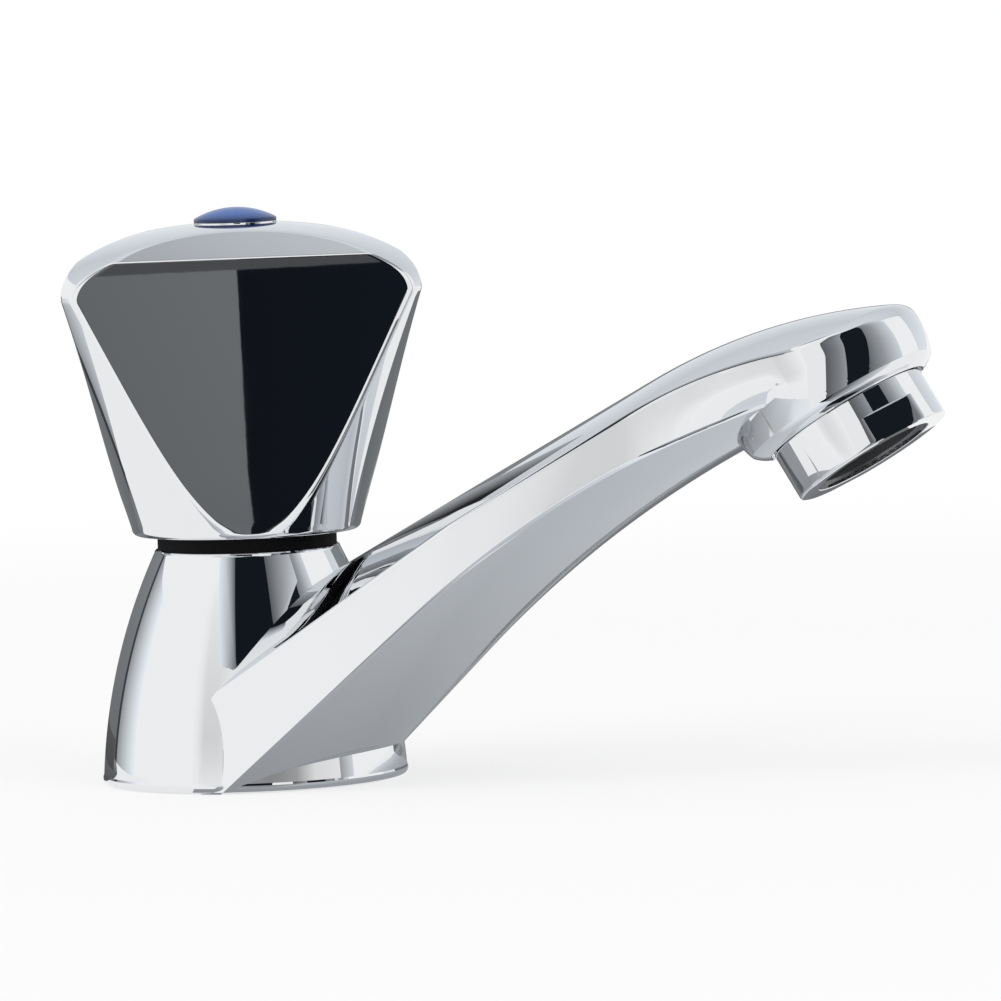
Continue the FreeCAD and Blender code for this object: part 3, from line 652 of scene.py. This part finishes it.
land = CAP_LAND[1]
dome_foot = (CAP_RADIUS, land + CAP_SIDE)
sphere = (CAP_RADIUS ** 2 + CAP_DOME ** 2) / (2 * CAP_DOME)
half_angle = math.asin(CAP_RADIUS / sphere) / 2
dome_middle = (sphere * math.sin(half_angle),
               land + CAP_SIDE + CAP_DOME - sphere * (1 - math.cos(half_angle)))
dome = along_arc(dome_foot, dome_middle, (0, land + CAP_SIDE + CAP_DOME), DOME_STEPS)
cap_inner, cap_outer, cap_length = CAP_SKIRT
index_cap = made(turned([
    *dome[1:],
    (0, land),
    (cap_inner, land),
    (cap_inner, land - cap_length),
    (cap_outer, land - cap_length),
    (cap_outer, land),
    (CAP_RADIUS - CAP_CHAMFER, land),
    (CAP_RADIUS, land + CAP_CHAMFER),
    *[(CAP_RADIUS + across, land + CAP_SIDE + up) for across, up in CAP_EASE],
], CAP_STEPS), "index_cap_button")
smooth(index_cap)
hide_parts("index_cap")
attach(index_cap, "handle")


GRAIN_DETAIL = 5
PATCH_SCALE = 90
GRAIN_HEIGHT = 0.00003


def speckle_group():
    """Faint unevenness of a moulded or pressed surface, in colour, gloss and relief."""
    group, given, out = new_group("moulded_skin", [
        ("Gloss", 0.4), ("Haze", 0.1), ("Relief", 0.1), ("Scale", 400.0),
    ], [("Shade", "NodeSocketFloat"), ("Roughness", "NodeSocketFloat"),
        ("Normal", "NodeSocketVector")])
    nodes, link = group.nodes, group.links.new
    place = nodes.new("ShaderNodeTexCoord")
    grain = nodes.new("ShaderNodeTexNoise")
    grain.inputs["Detail"].default_value = GRAIN_DETAIL
    link(place.outputs["Object"], grain.inputs["Vector"])
    link(given.outputs["Scale"], grain.inputs["Scale"])
    patches = nodes.new("ShaderNodeTexNoise")
    patches.inputs["Scale"].default_value = PATCH_SCALE
    link(place.outputs["Object"], patches.inputs["Vector"])
    haze = nodes.new("ShaderNodeMath")
    haze.operation = "MULTIPLY_ADD"
    link(patches.outputs["Fac"], haze.inputs[0])
    link(given.outputs["Haze"], haze.inputs[1])
    link(given.outputs["Gloss"], haze.inputs[2])
    link(haze.outputs[0], out.inputs["Roughness"])
    link(patches.outputs["Fac"], out.inputs["Shade"])
    bump = nodes.new("ShaderNodeBump")
    bump.inputs["Distance"].default_value = GRAIN_HEIGHT
    link(given.outputs["Relief"], bump.inputs["Strength"])
    link(grain.outputs["Fac"], bump.inputs["Height"])
    link(bump.outputs["Normal"], out.inputs["Normal"])
    return group


moulded_skin = speckle_group()


def shaded_finish(name, dark, light, metallic, **values):
    """A finish whose colour wanders a little between two close shades."""
    finish = finish_of(name, light, metallic, moulded_skin, **values)
    nodes, link = finish.node_tree.nodes, finish.node_tree.links.new
    marks = next(node for node in nodes if node.type == "GROUP")
    shades = nodes.new("ShaderNodeMix")
    shades.data_type = "RGBA"
    shades.inputs["A"].default_value = dark
    shades.inputs["B"].default_value = light
    link(marks.outputs["Shade"], shades.inputs["Factor"])
    link(shades.outputs["Result"], nodes["Principled BSDF"].inputs["Base Color"])
    return finish


blue_cap = shaded_finish("blue_cap", *CAP_BLUES[1:], 0, Gloss=0.18, Haze=0.1, Relief=0.05)
# Painted shade: the cap is navy at its foot and fades to its own blue a millimetre higher.
nodes, link = blue_cap.node_tree.nodes, blue_cap.node_tree.links.new
place = nodes.new("ShaderNodeTexCoord")
height = nodes.new("ShaderNodeSeparateXYZ")
edge = nodes.new("ShaderNodeMapRange")
for label, value in (("From Min", CAP_PAINTED_SHADE_HEIGHTS[0] * MM), ("From Max", CAP_PAINTED_SHADE_HEIGHTS[1] * MM)):
    edge.inputs[label].default_value = value
painted_shade_mix = nodes.new("ShaderNodeMix")
painted_shade_mix.data_type = "RGBA"
painted_shade_mix.inputs["A"].default_value = CAP_BLUES[0]
link(place.outputs["Object"], height.inputs["Vector"])
link(height.outputs["Z"], edge.inputs["Value"])
link(edge.outputs["Result"], painted_shade_mix.inputs["Factor"])
shades = next(node for node in nodes if node.type == "MIX" and node != painted_shade_mix)
link(shades.outputs["Result"], painted_shade_mix.inputs["B"])
link(painted_shade_mix.outputs["Result"], nodes["Principled BSDF"].inputs["Base Color"])
put_on(blue_cap, index_cap)


# Neck ring: a thin black plastic sleeve that stands on the neck.
# It closes the gap between the body and the turning handle, and shows as a dark line. Its
# near-black, barely reflecting finish is also painted shade: it stands in for the shadow in that
# gap.

NECK_RING = (12.2, 13.2, 3.2)
RING_EDGE = 0.15
RING_STEPS = 160
RING_GLOSS = 0.1

ring_inner, ring_outer, ring_length = NECK_RING
neck_ring = made(turned([
    (ring_inner, NECK_HEIGHT),
    (ring_outer, NECK_HEIGHT),
    (ring_outer, NECK_HEIGHT + ring_length - RING_EDGE),
    (ring_outer - RING_EDGE, NECK_HEIGHT + ring_length),
    (ring_inner + RING_EDGE, NECK_HEIGHT + ring_length),
    (ring_inner, NECK_HEIGHT + ring_length - RING_EDGE),
], RING_STEPS), "neck_sleeve")
smooth(neck_ring)
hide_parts("neck_ring")
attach(neck_ring, "body")
# Nearly black and barely reflecting: painted shade for the shadow in the gap under the handle.
black_plastic = shaded_finish("black_plastic", (0.002, 0.002, 0.0025, 1),
                              (0.005, 0.005, 0.006, 1), 0, Gloss=0.5, Haze=0.2, Relief=0.2)
plastic_shader = black_plastic.node_tree.nodes["Principled BSDF"]
plastic_shader.inputs["Specular IOR Level"].default_value = RING_GLOSS
put_on(black_plastic, neck_ring)


# Aerator housing: a turned and chromed sleeve that screws into the head.
# Two flats are milled on its skirt for a spanner, and its mouth is turned in to hold the
# cartridge.

AERATOR_RADIUS = 12.0
AERATOR_EDGE = 0.4
AERATOR_THREAD = (11.0, 12.4)
AERATOR_BORE = (9.6, 0.8)
AERATOR_MOUTH = 9.0
MOUTH_EDGE = 0.1
SPANNER_FLAT = (11.25, 4.1)
FLAT_AZIMUTHS = (-42.5, 137.5)
FLAT_EDGE = 0.1
FLAT_STEPS = 16
BETWEEN_STEPS = 56
LEAST_COSINE = 0.01

flat_distance, flat_top = SPANNER_FLAT
soft = AERATOR_EDGE
aerator_rows = [
    (AERATOR_MOUTH, NO_SIDE, MOUTH_EDGE),
    (AERATOR_MOUTH + MOUTH_EDGE, NO_SIDE, 0),
    (AERATOR_RADIUS - soft, flat_distance, 0),
    (AERATOR_RADIUS - ROUND_MIDDLE * soft, flat_distance, ROUND_MIDDLE * soft),
    (AERATOR_RADIUS, flat_distance, soft),
    (AERATOR_RADIUS, flat_distance, flat_top - FLAT_EDGE),
    (AERATOR_RADIUS, flat_distance + FLAT_EDGE, flat_top),
    (AERATOR_RADIUS, NO_SIDE, flat_top),
    (AERATOR_RADIUS, NO_SIDE, LIP[1]),
    (AERATOR_THREAD[0], NO_SIDE, LIP[1]),
    (AERATOR_THREAD[0], NO_SIDE, AERATOR_THREAD[1]),
    (AERATOR_BORE[0], NO_SIDE, AERATOR_THREAD[1]),
    (AERATOR_BORE[0], NO_SIDE, AERATOR_BORE[1]),
    (AERATOR_MOUTH, NO_SIDE, AERATOR_BORE[1]),
]


def milled_ring(radius, distance, height):
    """A ring whose points keep their turn, also where the flats have run out."""
    alpha = math.acos(flat_distance / AERATOR_RADIUS)
    offsets = ([-alpha + 2 * alpha * i / FLAT_STEPS for i in range(FLAT_STEPS)]
               + [alpha + (math.pi - 2 * alpha) * i / BETWEEN_STEPS
                  for i in range(BETWEEN_STEPS)])
    ring = []
    for azimuth in FLAT_AZIMUTHS:
        for offset in offsets:
            turn = (offset + math.pi / 2) % math.pi - math.pi / 2
            reach = min(radius, distance / max(math.cos(turn), LEAST_COSINE))
            angle = math.radians(azimuth) + offset
            ring.append((reach * math.cos(angle), reach * math.sin(angle), height))
    return ring + ring[:1]


aerator_rings = [milled_ring(*row) for row in aerator_rows]
aerator_housing = made(joined(skinned(aerator_rings + aerator_rings[:1])),
                       "aerator_sleeve", to_outlet)
smooth(aerator_housing)
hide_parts("aerator_housing")
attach(aerator_housing, "body")
put_on(body_chrome, aerator_housing)


# Pieces inside the aerator: cartridge, grille, flow regulator and screen.
# The cartridge and the grille are moulded in dark grey plastic, the regulator in white, and
# the screen is woven from steel wire.

white_plastic = shaded_finish("white_plastic", (0.70, 0.70, 0.68, 1), (0.80, 0.80, 0.78, 1), 0,
                              Gloss=0.35, Haze=0.2, Relief=0.15)
grey_plastic = shaded_finish("grey_plastic", (0.030, 0.031, 0.033, 1),
                             (0.055, 0.057, 0.060, 1), 0, Gloss=0.35, Haze=0.2, Relief=0.2)
put_on(white_plastic, nodes_of["flow_regulator"])
put_on(grey_plastic, nodes_of["aerator_cartridge"], nodes_of["aerator_grille"])


# Seals: the base gasket, washers and O-rings, in black rubber, and a red fibre ring.
# The rubber ones are moulded and slightly dull. The fibre ring is stamped from pressed board.

seal_rubber = shaded_finish("seal_rubber", (0.018, 0.018, 0.018, 1), (0.035, 0.035, 0.035, 1), 0,
                            Gloss=0.55, Haze=0.25, Relief=0.4)
fibre_gasket = shaded_finish("fibre_gasket", (0.32, 0.08, 0.05, 1), (0.50, 0.15, 0.10, 1), 0,
                             Gloss=0.75, Haze=0.2, Relief=1.0, Scale=1500)
put_on(seal_rubber, *[nodes_of[name] for name in (
    "base_gasket", "aerator_gasket", "spindle_o_ring_lower", "spindle_o_ring_upper",
    "plunger_o_ring", "seat_washer")])
put_on(fibre_gasket, nodes_of["headpart_gasket"])


# Valve: the headpart, the spindle, the plunger and its screw, turned from brass bar.
# The fastening, the circlip and the screen are steel. The insert in the handle and the
# thrust washer are white plastic.

valve_brass = finish_of("valve_brass", (0.72, 0.53, 0.24, 1), 1, hand_polish,
                        Gloss=0.22, Haze=0.2, Waviness=0.4, Scale=300)
steel = finish_of("steel", (0.60, 0.60, 0.61, 1), 1, hand_polish,
                  Gloss=0.25, Haze=0.25, Waviness=0.3, Scale=250)
put_on(valve_brass, *[nodes_of[name] for name in (
    "headpart_body", "spindle", "valve_plunger", "washer_screw")])
put_on(steel, *[nodes_of[name] for name in (
    "spindle_circlip", "screw_washer", "handle_screw", "aerator_screen")])
put_on(white_plastic, nodes_of["handle_insert"], nodes_of["thrust_washer"])


# Studio: a pale floor under an even white surround.
# The paper cards that are built from here on stand round the tap, out of the camera's sight.
# Only the chrome shows them, as its dark streaks and grey edges.

FLOOR_REACH = 6000.0
FLOOR_STEPS = 96
FLOOR_GREY = (0.88, 0.88, 0.88, 1)
FLOOR_DULLNESS = 0.9
FLOOR_FADE = (0.22, 0.60)
FLOOR_GLOW = 0.72
SURROUND_LIGHT = 0.75
WHITE = (1, 1, 1, 1)
PLAIN = (1, 1, 1)
COOL = (0.96, 1.0, 1.05)
NAVY = (0.75, 1.0, 1.45)

floor_skin = bmesh.new()
bmesh.ops.create_circle(floor_skin, cap_ends=True, segments=FLOOR_STEPS, radius=FLOOR_REACH)
floor = made(floor_skin, "floor")
floor_paper = bpy.data.materials.new("floor_paper")
floor_paper.use_nodes = True
nodes, link = floor_paper.node_tree.nodes, floor_paper.node_tree.links.new
paper = nodes["Principled BSDF"]
paper.inputs["Base Color"].default_value = FLOOR_GREY
paper.inputs["Roughness"].default_value = FLOOR_DULLNESS
paper.inputs["Specular IOR Level"].default_value = 0
glow = nodes.new("ShaderNodeEmission")
seen = nodes.new("ShaderNodeLightPath")
place = nodes.new("ShaderNodeTexCoord")
length = nodes.new("ShaderNodeVectorMath")
length.operation = "LENGTH"
fade = nodes.new("ShaderNodeMapRange")
fade.interpolation_type = "SMOOTHSTEP"
for label, value in zip(("From Min", "From Max", "To Min", "To Max"),
                        (*FLOOR_FADE, FLOOR_GLOW, 1)):
    fade.inputs[label].default_value = value
either = nodes.new("ShaderNodeMath")
either.operation = "MAXIMUM"
amount = nodes.new("ShaderNodeMath")
amount.operation = "MULTIPLY"
mixed = nodes.new("ShaderNodeMixShader")
link(place.outputs["Object"], length.inputs[0])
link(length.outputs["Value"], fade.inputs["Value"])
link(seen.outputs["Is Camera Ray"], either.inputs[0])
link(seen.outputs["Is Glossy Ray"], either.inputs[1])
link(either.outputs[0], amount.inputs[0])
link(fade.outputs["Result"], amount.inputs[1])
link(amount.outputs[0], mixed.inputs["Fac"])
link(paper.outputs["BSDF"], mixed.inputs[1])
link(glow.outputs["Emission"], mixed.inputs[2])
link(mixed.outputs["Shader"], nodes["Material Output"].inputs["Surface"])
put_on(floor_paper, floor)

surround = bpy.data.worlds.new("surround")
bpy.context.scene.world = surround
surround.use_nodes = True
nodes, link = surround.node_tree.nodes, surround.node_tree.links.new
plain = nodes["Background"]
plain.inputs["Color"].default_value = WHITE
plain.inputs["Strength"].default_value = SURROUND_LIGHT
bright = nodes.new("ShaderNodeBackground")
bright.inputs["Color"].default_value = WHITE
bright.inputs["Strength"].default_value = 1
seen = nodes.new("ShaderNodeLightPath")
either = nodes.new("ShaderNodeMath")
either.operation = "MAXIMUM"
through = nodes.new("ShaderNodeMath")
through.operation = "MAXIMUM"
mixed = nodes.new("ShaderNodeMixShader")
link(seen.outputs["Is Camera Ray"], either.inputs[0])
link(seen.outputs["Is Glossy Ray"], either.inputs[1])
link(either.outputs[0], through.inputs[0])
link(seen.outputs["Is Transmission Ray"], through.inputs[1])
link(through.outputs[0], mixed.inputs["Fac"])
link(plain.outputs["Background"], mixed.inputs[1])
link(bright.outputs["Background"], mixed.inputs[2])
link(mixed.outputs["Shader"], nodes["World Output"].inputs["Surface"])

card_paper = bpy.data.materials.new("card_paper")
card_paper.use_nodes = True
nodes, link = card_paper.node_tree.nodes, card_paper.node_tree.links.new
nodes.clear()
shade = nodes.new("ShaderNodeAttribute")
shade.attribute_name = "shade"
glow = nodes.new("ShaderNodeEmission")
out = nodes.new("ShaderNodeOutputMaterial")
link(shade.outputs["Color"], glow.inputs["Color"])
link(glow.outputs["Emission"], out.inputs["Surface"])


def card(name, rows, tint=COOL):
    """A card through rows of (x, y, z, shade) points, graded between their shades."""
    sheet = made(skinned([[point[:3] for point in row] for row in rows]), name)
    shades = sheet.data.color_attributes.new("shade", "FLOAT_COLOR", "POINT")
    for spot, point in zip(shades.data, [point for row in rows for point in row]):
        spot.color = (*[point[3] * share for share in tint], 1)
    put_on(card_paper, sheet)
    sheet.visible_camera = False
    sheet.visible_diffuse = False
    sheet.visible_shadow = False
    sheet.visible_transmission = False


def upright(name, spots, low, high, tint=COOL):
    """An upright card over (x, y, shade at its foot, shade at its top) spots."""
    card(name, [[(x, y, low, foot_shade) for x, y, foot_shade, _ in spots],
                [(x, y, high, top_shade) for x, y, _, top_shade in spots]], tint)


def around(middle, turn, reach):
    """The point at that turn in degrees and distance from a middle point."""
    angle = math.radians(turn)
    return middle[0] + reach * math.cos(angle), middle[1] + reach * math.sin(angle)


# Cards for the handle's flat side: a dark grey foot, a grey part and a black part.
# They stand far off. Their turns and shifts are measured from the middle of that side, and then
# from the middle of the card.

PANEL_REACH = 330.0
PANEL_TURN = -58.9
PANEL_LEFT = (-148.9, 66)
PANEL_RIGHT = (31.1, 46)
PANEL_FOOT = 19
PANEL_FOOT_SHADES = (0.085, 0.07)
PANEL_BORDER = ((10.9, PANEL_FOOT, 0.17), (10.45, 54, 0.16), (7.7, 88, 0.13))
PANEL_LEFT_SHARE = 0.8
PANEL_BLACKS = (0.008, 0.011)

panel = around((0, 0), SIDE_AZIMUTHS[2], SIDE_ARC[1][0])
middle_edge = around(panel, PANEL_TURN, PANEL_REACH)
left_edge = around(middle_edge, *PANEL_LEFT)
right_edge = around(middle_edge, *PANEL_RIGHT)
upright("panel_foot", [(*edge, shade, shade) for edge, shade in zip(
    (left_edge, right_edge), PANEL_FOOT_SHADES)], low=0, high=PANEL_FOOT)
border = [(*around(middle_edge, PANEL_LEFT[0], shift), z, shade)
          for shift, z, shade in PANEL_BORDER]
card("panel_grey", [[(*left_edge, z, PANEL_LEFT_SHARE * shade), (x, y, z, shade)]
                    for x, y, z, shade in border])
card("panel_black", [[(x, y, z, PANEL_BLACKS[0]), (*right_edge, z, PANEL_BLACKS[1])]
                     for x, y, z, _ in border], NAVY)


# Cards round the head: stiff paper in white, grey and black, which stands close to it.
# They make the head's upright stripes, and are set by their turn from its middle.

HEAD_MIDDLE = (98, -13)
HEAD_CARDS = ((26, 0.5), (95, 0.5), (95, 260))
SPANNER_REACH = 93


def head_card(name, spots, tint=COOL):
    """A card near the head over (turn, shade) spots, which starts as an apron on the floor."""
    card(name, [[(*around(HEAD_MIDDLE, turn, reach), z, shade) for turn, shade in spots]
                for reach, z in HEAD_CARDS], tint)


head_card("head_white", [(-87.6, 0.94), (-67, 0.94)], PLAIN)
head_card("head_grey", [(-67, 0.12), (-52, 0.24), (-43, 0.36)])
head_card("head_black", [(-43, 0.012), (-18, 0.012)], NAVY)
head_card("head_fade", [(-18, 0.13), (4, 0.36), (28, 0.75)])
card("spanner_black", [[(*around(HEAD_MIDDLE, turn, SPANNER_REACH), z, 0.012)
                        for turn in (-19, edge)]
                       for edge, z in ((-18, 60), (-11, 125), (-8, 260))], NAVY)


# Cards above the front of the neck, level with the handle: grey, black, and grey again.
# The leaning flank of the pedestal mirrors them as its dark stripe and the grey beside it.

NECK_CARD_HEIGHT = 82

for name, tint, edges in (
        ("neck_grey", COOL, (((-14, -39.6, 0.9), (4.1, -39.6, 0.12)),
                             ((-6, -161, 0.9), (32.5, -161, 0.12)))),
        ("neck_black", NAVY, (((4.1, -39.6, 0.01), (25.4, -25.9, 0.01)),
                              ((21.1, -112.4, 0.01), (80.2, -77, 0.01)),
                              ((32.5, -161, 0.01), (70, -139, 0.01)))),
        ("neck_right", COOL, (((25.4, -25.9, 0.12), (36, -8, 0.4)),
                              ((80, -77, 0.12), (62, -12, 0.5)),
                              ((92, -84, 0.5), (84, -14, 0.7))))):
    card(name, [[(x, y, NECK_CARD_HEIGHT, shade) for x, y, shade in edge] for edge in edges],
         tint)


# Cards behind the pedestal and behind the handle: they make the pedestal's grey left edge, with
# a dark line in it, and the dark top of the spout.

BACK_REACH = 150
BACK_HEIGHT = 84
BACK_START = 60
BACK_TURNS = range(BACK_START, 169, 6)
BACK_FLOOR = ((22.6, 145, 0.10), (60, 123, 0.14), (105, 113, 0.26), (BACK_REACH, 108, 0.20))
BACK_FLOOR_STEPS = 24
BACK_LINE_REACH = 146
ON_FLOOR = 0.3

upright("back_grey", [(*around((0, 0), turn, BACK_REACH), 0.17, 0.26)
                      for turn in BACK_TURNS], low=0, high=BACK_HEIGHT)
card("back_floor", [[(*around((0, 0), BACK_START + wide * i / BACK_FLOOR_STEPS, reach),
                      ON_FLOOR, shade) for i in range(BACK_FLOOR_STEPS + 1)]
                    for reach, wide, shade in BACK_FLOOR])
upright("back_line", [(*around((0, 0), turn, BACK_LINE_REACH), 0.05, 0.06)
                      for turn in (165, 169)], low=0, high=BACK_HEIGHT)
upright("back_fade", [(*around((0, 0), turn, BACK_REACH), shade, shade) for turn, shade in (
    (168, 0.30), (182, 0.65), (195, 1.0))], low=0, high=BACK_HEIGHT)
upright("behind_handle", [(-50, 40, 0.02, 0.02), (-8, 40, 0.02, 0.02), (12, 40, 0.4, 0.4)],
        low=35, high=81)


# Low cards round the foot, and large pale ones beside the arm, over the handle and on the floor.
# They grade the foot ring, the spout's side and belly, and the handle's bevel and crown. The one
# on
# the floor stands for a greyer floor there, and is darkest next to the pedestal and under the
# spout:
# painted shadow of the tap, seen only in the chrome.

FOOT_REACH = 60
BESIDE_ARM_Y = -420
OVER_BEVEL_Z = 320

upright("before_foot", [(*around((0, 0), turn, FOOT_REACH), shade, shade) for turn, shade in (
    (-86, 0.6), (-74, 0.34), (-55, 0.28), (-40, 0.38), (-28, 0.80), (-10, 0.88))],
        low=0, high=12, tint=PLAIN)
upright("behind_foot", [(*around((0, 0), turn, FOOT_REACH), 0.08, 0.10)
                        for turn in (100, 140, 176)], low=0, high=7)
card("beside_arm", [[(x, BESIDE_ARM_Y, z, 1 - (1 - shade) * depth) for x, depth in (
    (-190, 0), (-150, 0.3), (-110, 1), (-30, 1), (120, 0))] for z, shade in (
    (0, 0.95), (45, 0.80), (80, 0.74), (170, 0.80), (300, 0.90), (400, 1.0))], PLAIN)
card("over_bevel", [[(x, y, OVER_BEVEL_Z, shade) for x in (0, 70)]
                    for y, shade in ((-75, 0.30), (-30, 0.45), (15, 0.80))])
card("over_crown", [[(x, y, z, shade) for x in (-700, 500)]
                    for y, z, shade in ((600, 90, 0.86), (600, 500, 0.66), (-100, 500, 0.80))])
# Darkest next to the pedestal and under the spout: painted shadow of the tap, seen only in the
# chrome.
card("under_spout_shadow", [[(x, y, ON_FLOOR, shade) for x, shade in zip((0, 60, 85, 150), shades)]
                     for y, shades in ((-150, (0.58, 0.78, 0.90, 0.92)),
                                       (-25, (0.32, 0.56, 0.94, 0.96)),
                                       (0, (0.27, 0.52, 0.60, 0.74)),
                                       (110, (0.40, 0.64, 0.70, 0.82)))])


# Lamps: two large soft boxes, to the left and to the right of the camera.
# They light the floor and the plastic. The chrome doesn't show them.

LAMP_AIM = Vector((0.04, 0, 0.04))


def lamp(name, spot, size, power):
    """A soft rectangular lamp, in metres and watts, that points at the tap."""
    light = bpy.data.lights.new(name, "AREA")
    light.shape = "RECTANGLE"
    light.size, light.size_y = size
    light.energy = power
    stand = bpy.data.objects.new(name, light)
    stand.location = spot
    stand.rotation_euler = (LAMP_AIM - stand.location).to_track_quat("-Z", "Y").to_euler()
    stand.visible_glossy = False
    bpy.context.collection.objects.link(stand)


lamp("key_lamp", spot=(-0.9, -1.1, 1.3), size=(0.9, 0.9), power=9)
lamp("fill_lamp", spot=(1.2, -0.6, 1.0), size=(0.8, 0.8), power=5)


# Camera: low and to the front right of the tap, level with its middle, with a long lens.
# It is turned by two degrees about its own axis, as the photograph is.

CAMERA_AZIMUTH = math.radians(22.93)
CAMERA_HEIGHT = math.radians(4.12)
CAMERA_ROLL = math.radians(2.045)
CAMERA_DISTANCE = 1200.0
CAMERA_TARGET = Vector((47, 0, 42))
CAMERA_OFFSET = (-5.806, -0.972)
CAMERA_LENS = 297.7
CAMERA_SENSOR = 36
CAMERA_SIGHT = 50

sin, cos = math.sin(CAMERA_AZIMUTH), math.cos(CAMERA_AZIMUTH)
back = Vector((sin * math.cos(CAMERA_HEIGHT), -cos * math.cos(CAMERA_HEIGHT),
               math.sin(CAMERA_HEIGHT)))
right = Vector((cos, sin, 0))
up = back.cross(right)
aim = CAMERA_TARGET + right * CAMERA_OFFSET[0] + up * CAMERA_OFFSET[1]
level, tilt = math.cos(CAMERA_ROLL), math.sin(CAMERA_ROLL)
camera_data = bpy.data.cameras.new("camera")
camera_data.lens = CAMERA_LENS
camera_data.sensor_width = CAMERA_SENSOR
camera_data.clip_end = CAMERA_SIGHT
camera = bpy.data.objects.new("camera", camera_data)
axes = Matrix((right * level - up * tilt, right * tilt + up * level, back)).transposed()
camera.matrix_world = (Matrix.Translation((aim + back * CAMERA_DISTANCE) * MM)
                       @ axes.to_4x4())
bpy.context.collection.objects.link(camera)
bpy.context.scene.camera = camera
bpy.context.scene.view_settings.view_transform = "Standard"
